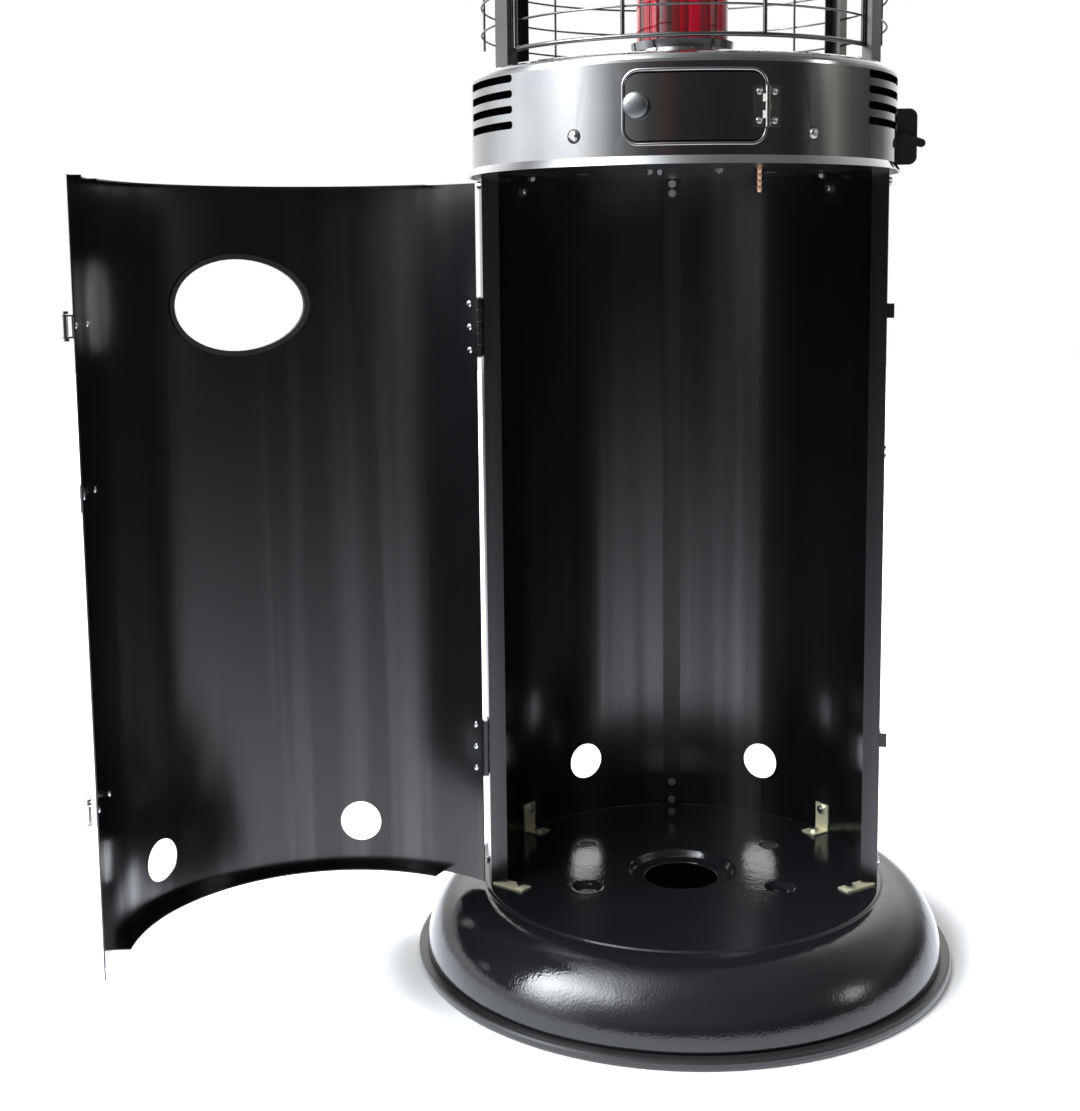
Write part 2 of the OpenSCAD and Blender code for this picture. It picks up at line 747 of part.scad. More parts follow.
// A hooked plate on the shell's outer face that takes the latch wire
module catch(z) {
    turn = catch_w / shell_r * 180 / PI;
    arc_wall(shell_r, shell_r + sheet, z - catch_h / 2, z + catch_h / 2, catch_az, catch_az + turn);
    at_azimuth(catch_az) translate([shell_r + run_gap * 4, -sheet / 2, z - catch_h / 2])
        cube([catch_out, sheet, catch_h]);
}

module door_catches() {
    color([0.75, 0.75, 0.76]) {
        catch(upper_latch_z);
        catch(lower_latch_z);
    }
}

// Knuckles of a hinge, every second one starting at first
module knuckle_row(len, count, first, r_out, r_bore, gap) {
    one = len / count;
    for (i = [first:2:count - 1]) translate([0, 0, -len / 2 + i * one + gap / 2]) difference() {
        cylinder(r = r_out, h = one - gap, $fn = 48);
        translate([0, 0, -cut]) cylinder(r = r_bore, h = one + 2 * cut, $fn = 48);
    }
}

// Webs that join the knuckles to a leaf in the same frame
module knuckle_webs(len, count, first, gap) {
    one = len / count;
    for (i = [first:2:count - 1]) translate([0, 0, -len / 2 + i * one + gap / 2])
        linear_extrude(one - gap) children();
}

module shell_hinge_leaves() {
    pin_az = -asin(pin_x / pin_circle_r);
    edge_az = -acos(front_edge_y / shell_r);
    turn = leaf_w / shell_r * 180 / PI;
    color([0.1, 0.1, 0.1]) for (z = [upper_hinge_z, lower_hinge_z]) difference() {
        union() {
            arc_wall(shell_r, shell_r + sheet, z - hinge_len / 2, z + hinge_len / 2,
                edge_az - turn, edge_az - 1);
            translate([-pin_x, -pin_y, z]) knuckle_row(hinge_len, knuckles, 0, knuckle_r, pin_r, knuckle_gap);
            translate([0, 0, z]) knuckle_webs(hinge_len, knuckles, 0, knuckle_gap)
                polygon([for (p = [[shell_r + weld_gap, edge_az - 2], [shell_r + sheet, edge_az - 2],
                    [pin_circle_r + knuckle_r * 0.6, pin_az - 0.5], [pin_circle_r - knuckle_r * 0.6, pin_az - 0.5],
                    [shell_r + weld_gap, edge_az - 1]])
                    [p[0] * sin(p[1]), -p[0] * cos(p[1])]]);
        }
        translate([-pin_x, -pin_y, z - hinge_len / 2 - cut]) cylinder(r = pin_r, h = hinge_len + 2 * cut, $fn = 48);
    }
}

module hinge_pins() {
    color([0.7, 0.7, 0.7]) {
        for (z = [upper_hinge_z, lower_hinge_z]) translate([-pin_x, -pin_y, z - hinge_len / 2 - sheet]) {
            cylinder(r = pin_r, h = hinge_len + 2 * sheet, $fn = 48);
            cylinder(r = knuckle_r * 0.8, h = sheet, $fn = 48);
            translate([0, 0, hinge_len + sheet]) cylinder(r = knuckle_r * 0.8, h = sheet, $fn = 48);
        }
        at_azimuth(control_pin_az) translate([ring_r + control_pin_out, 0, control_z - control_hinge_len / 2])
            cylinder(r = control_pin_r, h = control_hinge_len, $fn = 48);
    }
}

module burner_deck() {
    z = shell_top_z;
    color([0.62, 0.6, 0.55]) difference() {
        union() {
            translate([0, 0, z]) cylinder(r = ring_in_r, h = sheet);
            ring(ring_in_r - sheet, ring_in_r, z, z + sheet + deck_rim_h);
        }
        translate([barb_x, 0, z - cut]) cylinder(r = barb_d / 2 + run_gap, h = sheet + 2 * cut, $fn = 48);
        for (s = [-1, 1]) {
            for (a = [front_bracket_az, rear_bracket_az]) at_azimuth(s * a)
                translate([shell_in_r - foot_bolt_in, 0, z - cut])
                    cylinder(r = bolt_r + bolt_gap, h = sheet + 2 * cut, $fn = 32);
            radial_hole(s * ring_screw_az, ring_screw_z, screw_r + bolt_gap, ring_r, sheet * 5);
            radial_hole(s * (180 - ring_screw_az), ring_screw_z, screw_r + bolt_gap, ring_r, sheet * 5);
        }
        for (a = deck_bolt_azs) at_azimuth(a) translate([deck_bolt_circle_r, 0, z - cut])
            cylinder(r = bolt_r + bolt_gap, h = sheet + 2 * cut, $fn = 32);
        translate([0, 0, control_z]) rotate([90, 0, 0])
            linear_extrude(ring_lip_r + cut) round_rect(control_door_w + 4 * control_gap,
                control_door_h + 4 * control_gap, control_corner_r);
        for (x = [-1, 1], y = [-1, 1]) translate([x * tilt_x, y * tilt_y * 2, z - cut])
            cylinder(r = floor_hole_d / 2, h = sheet + 2 * cut);
    }
}

// The control ring's outline, pulled in by a wall
function ring_points(t) = concat(
    [[ring_lip_r - t, ring_z0], [ring_r - t, ring_z0 + ring_flare_h]],
    [for (i = [0:shoulder_steps]) let (a = 90 * i / shoulder_steps)
        [ring_r - shoulder_r + (shoulder_r - t) * cos(a), ring_z1 - shoulder_r + (shoulder_r - t) * sin(a)]],
    [[ring_top_in_r, ring_z1 - t]]);

module control_ring() {
    n = shoulder_steps + 4;
    color([0.72, 0.7, 0.66]) difference() {
        rotate_extrude() polygon(concat(ring_points(0), [for (i = [1:n]) ring_points(sheet)[n - i]]));
        for (s = [0, 1], i = [0:slot_count - 1]) mirror([s, 0, 0]) {
            z = ring_z1 - slot_drop - i * slot_pitch;
            arc_wall(ring_in_r - cut, ring_r + cut, z - slot_h / 2, z + slot_h / 2, slot_az_0, slot_az_1);
            for (a = [slot_az_0, slot_az_1]) radial_hole(a, z, slot_h / 2, ring_r, sheet + cut);
        }
        for (s = [-1, 1], a = [ring_screw_az, 180 - ring_screw_az])
            radial_hole(s * a, ring_screw_z, screw_r + bolt_gap, ring_r, sheet * 5);
        for (s = [-1, 1], a = [front_post_az, rear_post_az]) at_azimuth(s * a)
            translate([foot_bolt_r, 0, ring_z1 - sheet - cut])
                cylinder(r = bolt_r + bolt_gap, h = sheet + 2 * cut, $fn = 32);
        translate([0, 0, control_z]) rotate([90, 0, 0]) translate([0, 0, panel_y])
            linear_extrude(ring_lip_r - panel_y + cut) round_rect(control_door_w, control_door_h, control_corner_r);
    }
}

module ring_top_plate() {
    color([0.35, 0.34, 0.33]) difference() {
        ring(air_hole_r, top_plate_r, plate_top_z - sheet, plate_top_z);
        for (s = [-1, 1], a = [front_post_az, rear_post_az]) at_azimuth(s * a)
            translate([foot_bolt_r, 0, plate_top_z - sheet - cut])
                cylinder(r = bolt_r + bolt_gap, h = sheet + 2 * cut, $fn = 32);
    }
}

module ring_screws() {
    color([0.7, 0.68, 0.64]) {
        for (s = [-1, 1], a = [ring_screw_az, 180 - ring_screw_az])
            wall_screw(s * a, ring_screw_z, ring_r, 5 * sheet);
        for (s = [-1, 1], a = [front_post_az, rear_post_az]) at_azimuth(s * a) {
            translate([foot_bolt_r, 0, 0]) upright_bolt(ring_z1 + sheet, 3 * sheet);
            translate([foot_bolt_r, 0, 0]) upright_bolt(top_z + sheet, 2 * sheet);
        }
    }
}

module hose_barb() {
    z1 = shell_top_z;
    rib = barb_len / barb_ribs;
    r = barb_d / 2;
    color([0.78, 0.5, 0.28]) difference() {
        translate([barb_x, 0, 0]) {
            for (i = [0:barb_ribs - 1]) translate([0, 0, z1 - barb_len + i * rib])
                cylinder(r1 = r * 0.72, r2 = r, h = rib, $fn = 48);
            translate([0, 0, z1]) cylinder(r = r, h = sheet, $fn = 48);
            translate([0, 0, z1 + sheet]) cylinder(r = barb_hex_r, h = barb_hex_h, $fn = 6);
        }
        translate([barb_x, 0, z1 - barb_len - cut]) cylinder(r = barb_bore_r, h = barb_len + barb_hex_h + sheet + 2 * cut, $fn = 32);
    }
}

valve_y1 = -panel_y + sheet + valve_gap;
valve_y2 = valve_y1 + valve_depth;

module gas_inlet_pipe() {
    z0 = deck_top_z + barb_hex_h;
    y = valve_y2 - valve_depth / 2;
    color([0.75, 0.62, 0.4]) pipe_run([[barb_x, 0, z0], [barb_x, 0, inlet_z],
        [barb_x, y, inlet_z], [-gas_knob_x + valve_w / 2, y, inlet_z]], pipe_r, pipe_bend_r);
}

module gas_valve() {
    color([0.7, 0.58, 0.36]) difference() {
        union() {
            translate([-gas_knob_x - valve_w / 2, valve_y1, control_row_z - valve_h / 2])
                cube([valve_w, valve_depth, valve_h]);
            translate([-gas_knob_x, valve_y1, control_row_z]) rotate([90, 0, 0])
                cylinder(r = spindle_r * 3, h = valve_gap, $fn = 48);
        }
        translate([-gas_knob_x, valve_y1 + valve_depth / 2, control_row_z]) rotate([90, 0, 0])
            cylinder(r = spindle_r + run_gap, h = valve_depth + valve_gap + cut, $fn = 48);
    }
}

module control_panel() {
    z0 = deck_top_z;
    color([0.12, 0.12, 0.12]) difference() {
        union() {
            translate([-panel_w / 2, -panel_y, z0]) cube([panel_w, sheet, panel_h]);
            translate([-panel_w / 2, -panel_y, z0]) cube([panel_w, panel_foot, sheet]);
        }
        translate([-gas_knob_x, cut - panel_y + sheet, control_row_z]) rotate([90, 0, 0])
            cylinder(r = spindle_r + run_gap * 20, h = sheet + 2 * cut, $fn = 48);
        translate([button_x, cut - panel_y + sheet, control_row_z]) rotate([90, 0, 0])
            cylinder(r = button_d / 2 + move_gap, h = sheet + 2 * cut, $fn = 48);
    }
}

module burner_pipe() {
    color([0.75, 0.62, 0.4]) pipe_run([[-gas_knob_x, valve_y2, feed_z],
        [-gas_knob_x, -cup_r * 1.7, feed_z], [0, -cup_r * 1.7, feed_z],
        [0, cup_wall * 2 - cup_r, feed_z]], pipe_r, pipe_bend_r);
}

module burner_cup() {
    z0 = deck_top_z;
    color([0.66, 0.64, 0.6]) difference() {
        union() {
            translate([0, 0, z0]) cylinder(r = cup_base_r, h = sheet);
            translate([0, 0, z0]) cylinder(r = cup_r, h = cup_h);
        }
        translate([0, 0, z0 + sheet]) cylinder(r = cup_r - cup_wall, h = cup_h + cut);
        for (a = deck_bolt_azs) at_azimuth(a) translate([deck_bolt_circle_r, 0, z0 - cut])
            cylinder(r = bolt_r + bolt_gap, h = sheet + 2 * cut, $fn = 32);
        for (a = [30:60:330]) at_azimuth(a) translate([cup_r - 2 * cup_wall, 0, z0 + cup_h * 0.45])
            rotate([0, 90, 0]) cylinder(r = cup_r / 6, h = 4 * cup_wall, $fn = 32);
        translate([0, -cup_r / 2, feed_z]) rotate([90, 0, 0])
            cylinder(r = pipe_r + weld_gap, h = cup_r, $fn = 32);
    }
}

module burner_head() {
    z0 = deck_top_z + cup_h;
    color([0.5, 0.48, 0.46]) difference() {
        translate([0, 0, z0]) cylinder(r = cup_r, h = head_h);
        translate([0, 0, z0 - cut]) cylinder(r = head_hole_r, h = head_h + 2 * cut, $fn = 16);
        for (k = [1:3], i = [0:6 * k - 1]) rotate([0, 0, i * 60 / k])
            translate([k * cup_r * 0.26, 0, z0 - cut]) cylinder(r = head_hole_r, h = head_h + 2 * cut, $fn = 16);
    }
}

// A small upright beside the burner, with a clip round it that reaches the cup
module burner_upright(a, r, z0, z1, clip_z) {
    at_azimuth(a) {
        translate([pilot_circle_r, 0, z0]) cylinder(r = r, h = z1 - z0, $fn = 32);
        translate([cup_r + run_gap, -r * 1.6, clip_z])
            cube([pilot_circle_r - cup_r - run_gap, 3.2 * r, sheet * 2]);
    }
}

module pilot_burner() {
    color([0.72, 0.7, 0.66]) {
        burner_upright(0, pilot_r, pilot_z0, pilot_z1, pilot_z0 + cup_h * 0.3);
        at_azimuth(0) translate([pilot_circle_r, 0, pilot_z1]) sphere(r = pilot_r, $fn = 32);
    }
}

module spark_electrode() {
    color([0.9, 0.88, 0.84]) burner_upright(14, pilot_r * 0.9, pilot_z0, pilot_z1 - pilot_r * 3, pilot_z0 + cup_h * 0.3);
}

module thermocouple() {
    color([0.7, 0.5, 0.3]) burner_upright(-14, pilot_r * 0.8, pilot_z0, pilot_z1 - pilot_r, pilot_z0 + cup_h * 0.3);
}

module lead_wires() {
    p = [pilot_circle_r * 0.24, -pilot_circle_r * 0.97];
    y = valve_y2;
    color([0.1, 0.1, 0.1]) {
        pipe_run([[p[0], p[1], pilot_z0], [p[0], p[1], lead_z],
            [button_x, p[1], lead_z], [button_x, -panel_y + sheet + igniter_len, lead_z]], lead_r, lead_bend_r);
        pipe_run([[-p[0], p[1], pilot_z0], [-p[0], p[1], lead_z],
            [-gas_knob_x, p[1], lead_z], [-gas_knob_x, y, lead_z]], lead_r, lead_bend_r);
    }
}

module piezo_igniter() {
    y0 = -panel_y + sheet;
    color([0.15, 0.15, 0.16]) difference() {
        translate([button_x, y0 + igniter_len, control_row_z]) rotate([90, 0, 0]) cylinder(r = igniter_r, h = igniter_len, $fn = 48);
        translate([button_x, y0 + button_travel * 3, control_row_z]) rotate([90, 0, 0])
            cylinder(r = button_d / 2 + run_gap, h = button_travel * 3 + cut, $fn = 48);
    }
}

module tilt_switch() {
    color([0.3, 0.3, 0.32]) translate([-tilt_x, tilt_y, deck_top_z]) {
        translate([-tilt_w / 2, -tilt_w / 2, 0]) cube([tilt_w, tilt_w, tilt_h]);
        translate([0, 0, tilt_h]) cylinder(r = tilt_w / 4, h = tilt_h / 3, $fn = 48);
    }
}

// The socket's outline between its base and its free end
module socket_shape() {
    z = plate_top_z;
    rotate_extrude() polygon([
        [ledge_r, z], [socket_flange_r, z], [socket_flange_r, z + sheet],
        [socket_low_r, z + socket_base_h], [socket_low_r, z + socket_h * 0.2],
        [socket_high_r, z + socket_h * 0.75], [socket_high_r + sheet, z + socket_h],
        [tube_r + gasket_t, z + socket_h], [tube_r + gasket_t, tube_low_z - gasket_t],
        [ledge_r, tube_low_z - gasket_t]]);
}

module tube_socket() {
    color([0.8, 0.8, 0.82]) socket_shape();
}

module upper_collar() {
    color([0.8, 0.8, 0.82]) translate([0, 0, plate_top_z + top_z]) mirror([0, 0, 1])
        socket_shape();
}

module tube_gaskets() {
    color([0.85, 0.3, 0.2]) for (z = [tube_low_z, tube_high_z - gasket_h])
        ring(tube_r, tube_r + gasket_t, z, z + gasket_h);
    color([0.85, 0.3, 0.2]) ring(ledge_r, tube_r + gasket_t, tube_low_z - gasket_t, tube_low_z);
}

module glass_tube() {
    color([0.6, 0.05, 0.05, 0.7]) ring(tube_r - tube_wall, tube_r, tube_low_z, tube_high_z);
}

module top_plate() {
    r = post_out_r + sheet * 2;
    color([0.72, 0.7, 0.66]) difference() {
        union() {
            ring(air_hole_r, r, top_z, top_z + sheet);
            ring(r - sheet, r, top_z - post_depth, top_z + sheet);
        }
        for (s = [-1, 1], a = [front_post_az, rear_post_az]) at_azimuth(s * a)
            translate([foot_bolt_r, 0, top_z - cut]) cylinder(r = bolt_r + bolt_gap, h = sheet + 2 * cut, $fn = 32);
        for (i = [0:2]) at_azimuth(i * 120) translate([spacer_circle_r, 0, top_z - cut])
            cylinder(r = bolt_r + bolt_gap, h = sheet + 2 * cut, $fn = 32);
    }
}

module guard_posts() {
    h = guard_h;
    color([0.72, 0.71, 0.7]) for (s = [-1, 1], a = [front_post_az, rear_post_az]) at_azimuth(s * a)
        translate([0, 0, ring_z1]) difference() {
            union() {
                translate([post_out_r - post_depth, -post_w / 2, 0]) cube([post_depth, post_w, h]);
                translate([post_out_r - post_depth - foot_len, -post_w / 2, 0]) cube([foot_len + sheet, post_w, sheet]);
                translate([post_out_r - post_depth - foot_len, -post_w / 2, h - sheet]) cube([foot_len + sheet, post_w, sheet]);
            }
            translate([post_out_r - post_depth - cut, -post_w / 2 + sheet, sheet])
                cube([post_depth + cut - sheet, post_w - 2 * sheet, h - 2 * sheet]);
            translate([foot_bolt_r, 0, -cut]) cylinder(r = bolt_r + bolt_gap, h = h + 2 * cut, $fn = 32);
        }
}

module front_guard() {
    z0 = front_rod_z0;
    z1 = front_rod_z1;
    color([0.78, 0.78, 0.8]) {
        for (z = [z0, z1]) arc_wire(guard_r, rod_r, z, -front_rod_az, front_rod_az);
        for (s = [-1, 1]) {
            at_azimuth(s * front_rod_az) translate([guard_r, 0, z0]) {
                cylinder(r = rod_r, h = z1 - z0, $fn = 24);
                sphere(r = rod_r, $fn = 24);
                translate([0, 0, z1 - z0]) sphere(r = rod_r, $fn = 24);
            }
            at_azimuth(s * inner_rod_az) translate([guard_r, 0, z0 + rod_r + weld_gap])
                cylinder(r = inner_rod_r, h = z1 - z0 - 2 * rod_r - 2 * weld_gap, $fn = 24);
        }
        for (i = [1:front_wires]) arc_wire(front_wire_r, wire_r, z0 + i * wire_pitch, -front_rod_az, front_rod_az);
    }
}

// Thin wires between two posts, with upright wires behind them
module thin_guard(a0, a1, rods) {
    for (i = [0:side_wires - 1]) arc_wire(side_wire_r, wire_r, side_wire_z0 + i * wire_pitch, a0, a1);
    for (a = rods) at_azimuth(a) translate([side_wire_r - wire_r - side_rod_r - weld_gap, 0, side_wire_z0 - wire_pitch / 2])
        cylinder(r = side_rod_r, h = (side_wires - 1) * wire_pitch + wire_pitch, $fn = 24);
}

module left_guard() {
    color([0.75, 0.75, 0.77])
        thin_guard(-rear_post_az + post_half_az, -front_post_az - post_half_az, [-side_rod_az]);
}

module right_guard() {
    color([0.75, 0.75, 0.77])
        thin_guard(front_post_az + post_half_az, rear_post_az - post_half_az, [side_rod_az]);
}

module rear_guard() {
    color([0.75, 0.75, 0.77])
        thin_guard(rear_post_az + post_half_az, 360 - rear_post_az - post_half_az, [rear_rod_az, 360 - rear_rod_az]);
}

module reflector_hat() {
    z = hat_z;
    rim = hat_rim_r / 2;
    color([0.75, 0.75, 0.77]) difference() {
        rotate_extrude() polygon([
            [0, z], [hat_flat_r, z], [hat_r - hat_rim_r, z - hat_drop], [hat_r - sheet, z - hat_drop - hat_rim_r],
            [hat_r - sheet, z - hat_drop - hat_rim_h], [hat_r + rim, z - hat_drop - hat_rim_h],
            [hat_r + rim, z - hat_drop - hat_rim_h + rim * 2], [hat_r, z - hat_drop - hat_rim_h + rim * 2],
            [hat_r, z - hat_drop - hat_rim_r + sheet],
            [hat_r - hat_rim_r, z - hat_drop + sheet], [hat_flat_r, z + sheet], [0, z + sheet]]);
        for (i = [0:2]) at_azimuth(i * 120) translate([spacer_circle_r, 0, z - cut])
            cylinder(r = bolt_r + bolt_gap, h = sheet + 2 * cut, $fn = 32);
    }
}

module hat_spacers() {
    z = top_z + sheet;
    color([0.75, 0.75, 0.75]) for (i = [0:2]) at_azimuth(i * 120) translate([spacer_circle_r, 0, z])
        difference() {
            cylinder(r = spacer_r, h = spacer_h, $fn = 48);
            translate([0, 0, -cut]) cylinder(r = bolt_r + bolt_gap, h = spacer_h + 2 * cut, $fn = 32);
        }
}

module hat_nuts() {
    color([0.7, 0.7, 0.7]) for (i = [0:2]) at_azimuth(i * 120) translate([spacer_circle_r, 0, 0]) {
        translate([0, 0, top_z - nut_h]) cylinder(r = nut_r, h = nut_h, $fn = 6);
        translate([0, 0, top_z - nut_h]) cylinder(r = bolt_r, h = nut_h + spacer_h + 3 * sheet, $fn = 32);
        translate([0, 0, hat_z + sheet]) cylinder(r = nut_r * 1.4, h = nut_h, $fn = 6);
        translate([0, 0, hat_z + sheet + nut_h]) cylinder(r1 = nut_r, r2 = nut_r * 0.5, h = nut_h, $fn = 32);
    }
}

module side_bracket() {
    turn = side_out / ring_r * 180 / PI;
    x1 = ring_r + side_out;
    c = side_corner_r;
    color([0.6, 0.6, 0.6]) {
        arc_wall(ring_r, ring_r + sheet, side_z0 + c, side_z0 + side_h - c, 90, 90 + turn);
        difference() {
            translate([0, side_sheet / 2, side_z0]) rotate([90, 0, 0]) linear_extrude(side_sheet) {
                translate([ring_r + run_gap, 0]) square([side_out - c - run_gap, side_h]);
                translate([x1 - c, c]) square([c, side_h - 2 * c]);
                for (z = [c, side_h - c]) translate([x1 - c, z]) circle(r = c, $fn = 48);
            }
            translate([0, 0, side_z0 - cut]) cylinder(r = ring_r + run_gap, h = side_h + 2 * cut);
        }
        translate([ring_r + side_pivot_out, -side_sheet / 2, side_z0 + side_pivot_rise]) rotate([90, 0, 0]) {
            cylinder(r = side_pin_r, h = side_lever_t + 2 * move_gap + sheet, $fn = 48);
            translate([0, 0, side_lever_t + 2 * move_gap]) cylinder(r = side_pin_r * 1.7, h = sheet, $fn = 48);
        }
    }
}

module side_lever() {
    side_lever_root = (side_boss_r + side_pin_r) / 2 + run_gap;
    color([0.05, 0.05, 0.05]) translate([ring_r + side_pivot_out, -side_sheet / 2 - move_gap, side_z0 + side_pivot_rise])
        rotate([90, 0, 0]) difference() {
            union() {
                cylinder(r = side_boss_r, h = side_lever_t, $fn = 48);
                rotate([0, 0, -side_lever_turn]) translate([side_lever_root, -side_lever_w / 2, 0])
                    cube([side_lever_len - side_lever_root, side_lever_w, side_lever_t]);
                rotate([0, 0, -side_lever_turn]) translate([side_lever_len, 0, 0])
                    cylinder(r = side_lever_w / 2, h = side_lever_t, $fn = 48);
            }
            translate([0, 0, -cut]) cylinder(r = side_pin_r + run_gap, h = side_lever_t + 2 * cut, $fn = 48);
        }
}

// The control door's hinge: leaves lie on the ring and on the door
module control_leaf(side, first, r_bore) {
    r = ring_r;
    turn = control_leaf_w / r * 180 / PI;
    gap = control_leaf_gap / r * 180 / PI;
    l = control_hinge_len;
    z = control_z;
    difference() {
        union() {
            arc_wall(r, r + sheet, z - l / 2, z + l / 2,
                side > 0 ? control_pin_az + gap : control_pin_az - turn,
                side > 0 ? control_pin_az + turn : control_pin_az - gap);
            at_azimuth(control_pin_az) translate([r + control_pin_out, 0, z])
                knuckle_row(l, knuckles, first, control_knuckle_r, r_bore, knuckle_gap);
            at_azimuth(control_pin_az) translate([0, 0, z]) knuckle_webs(l, knuckles, first, knuckle_gap)
                polygon([[r + weld_gap, side * control_knuckle_r * 0.6], [r + control_pin_out, 0],
                    [r + control_pin_out + control_knuckle_r * 0.6, side * control_knuckle_r * 0.7],
                    [r + sheet, side * control_leaf_gap * 1.5], [r + weld_gap, side * control_leaf_gap * 1.5]]);
        }
        at_azimuth(control_pin_az) translate([r + control_pin_out, 0, z - l / 2 - cut])
            cylinder(r = r_bore, h = l + 2 * cut, $fn = 48);
        leaf_screws(side, screw_r + bolt_gap);
    }
}

// Screw bodies in a leaf of the control hinge
module leaf_screws(side, r) {
    a = control_pin_az + side * leaf_screw_in / ring_r * 180 / PI;
    for (s = [-1, 1]) at_azimuth(a) translate([ring_r - 3 * sheet, 0, control_z + s * leaf_screw_pitch / 2])
        rotate([0, 90, 0]) cylinder(r = r, h = 6 * sheet, $fn = 32);
}

module ring_hinge_leaf() {
    color([0.7, 0.68, 0.64]) control_leaf(1, 0, control_pin_r);
}

module control_door_leaf() {
    color([0.7, 0.68, 0.64]) control_leaf(-1, 1, control_pin_r + run_gap);
}

module control_door() {
    color([0.72, 0.7, 0.66]) difference() {
        intersection() {
            ring(ring_in_r, ring_r, ring_z0, ring_z1);
            translate([0, 0, control_z]) rotate([90, 0, 0]) translate([0, 0, panel_y])
                linear_extrude(ring_lip_r - panel_y + cut)
                    round_rect(control_door_w - 2 * control_gap, control_door_h - 2 * control_gap,
                        control_corner_r - control_gap);
        }
        radial_hole(control_knob_az, control_z + sheet, screw_r + bolt_gap, ring_r, 3 * sheet);
    }
}

module control_door_knob() {
    color([0.4, 0.4, 0.41]) at_azimuth(control_knob_az) translate([ring_r, 0, control_z + sheet])
        rotate([0, 90, 0]) {
            translate([0, 0, -2 * sheet]) cylinder(r = screw_r, h = 3 * sheet, $fn = 32);
            translate([0, 0, run_gap]) cylinder(r = control_knob_d * 0.3, h = control_knob_out * 0.4, $fn = 48);
            translate([0, 0, control_knob_out * 0.35]) cylinder(r1 = control_knob_d * 0.46, r2 = control_knob_d / 2, h = control_knob_out * 0.25, $fn = 48);
            translate([0, 0, control_knob_out * 0.6]) cylinder(r1 = control_knob_d / 2, r2 = control_knob_d * 0.38, h = control_knob_out * 0.4, $fn = 48);
        }
}

module valve_spindle() {
    y = -panel_y - knob_back_gap - knob_len / 2;
    color([0.72, 0.72, 0.7]) translate([-gas_knob_x, y + spindle_len, control_row_z]) rotate([90, 0, 0])
        cylinder(r = spindle_r, h = spindle_len, $fn = 48);
}

module gas_knob() {
    color([0.05, 0.05, 0.05]) translate([-gas_knob_x, -panel_y - knob_back_gap, control_row_z]) rotate([90, 0, 0])
        difference() {
            union() {
                cylinder(r = gas_knob_d / 2, h = knob_len * 0.4, $fn = 64);
                translate([0, 0, knob_len * 0.4]) cylinder(r1 = gas_knob_d * 0.46, r2 = gas_knob_d * 0.4, h = knob_len * 0.6 - knob_pointer_h, $fn = 64);
                translate([-knob_pointer_w / 2, -gas_knob_d * 0.38, knob_len * 0.5])
                    cube([knob_pointer_w, gas_knob_d * 0.76, knob_len * 0.5]);
            }
            translate([0, 0, -cut]) cylinder(r = spindle_r + run_gap, h = knob_len / 2 + cut, $fn = 48);
        }
}

module piezo_button() {
    y1 = -panel_y + sheet + button_travel;
    color([0.75, 0.08, 0.06]) translate([button_x, y1, control_row_z]) rotate([90, 0, 0]) {
        cylinder(r = button_d / 2, h = button_travel + sheet + button_head_len, $fn = 48);
    }
}

// The door is drawn closed and then swung to the open position
module swung() {
    translate([-pin_x, -pin_y, 0]) rotate([0, 0, -door_open]) translate([pin_x, pin_y, 0]) children();
}

// Azimuths and heights of the rivets on the closed door
function hinge_rivets() = [for (z = [upper_hinge_z, lower_hinge_z], i = [-1:1])
    [-door_half_az + hinge_rivet_in / door_r * 180 / PI, z + i * hinge_rivet_pitch]];
function pair_rivets() = [for (z = [upper_latch_z, lower_latch_z, plate_z], s = [-1, 1])
    [plate_az + s * pair_half_az, z]];

module door_panel() {
    color([0.055, 0.055, 0.06]) swung() difference() {
        union() {
            arc_wall(door_in_r, door_r, door_z0, door_z1, -door_half_az, door_half_az);
            for (z = [door_z0 + sheet / 4, door_z1 - sheet * 1.25])
                arc_wall(door_in_r - lip_w, door_in_r + sheet / 2, z, z + sheet, lip_az_0, lip_az_1);
            arc_wall(door_in_r - lip_w * 0.6, door_in_r + sheet / 2, door_z1 - sheet, door_z1, tab_az_0, tab_az_1);
        }
        oval_prism(porthole_az, porthole_z, porthole_a, porthole_b, door_in_r * 0.7, door_r + cut * 5);
        for (s = [-1, 1])
            radial_hole(porthole_az + s * door_vent_az, door_vent_z, door_vent_d / 2, door_r, sheet * 6);
        for (p = concat(hinge_rivets(), pair_rivets()))
            radial_hole(p[0], p[1], rivet_r + bolt_gap, door_r, sheet * 3);
    }
}

module porthole_trim() {
    r0 = door_in_r - trim_wall;
    r1 = door_r + trim_wall;
    color([0.02, 0.02, 0.02]) swung() difference() {
        intersection() {
            arc_wall(r0, r1, porthole_z - 2 * porthole_b, porthole_z + 2 * porthole_b, -door_half_az / 2, door_half_az / 2);
            oval_prism(porthole_az, porthole_z, porthole_a + trim_grip, porthole_b + trim_grip, door_in_r * 0.7, door_r * 1.1);
        }
        oval_prism(porthole_az, porthole_z, porthole_a - trim_wall, porthole_b - trim_wall, door_in_r * 0.6, door_r * 1.2);
        difference() {
            arc_wall(door_in_r - run_gap / 2, door_r + run_gap / 2, porthole_z - 2 * porthole_b, porthole_z + 2 * porthole_b,
                -door_half_az / 1.9, door_half_az / 1.9);
            oval_prism(porthole_az, porthole_z, porthole_a - run_gap, porthole_b - run_gap, door_in_r * 0.6, door_r * 1.2);
        }
    }
}

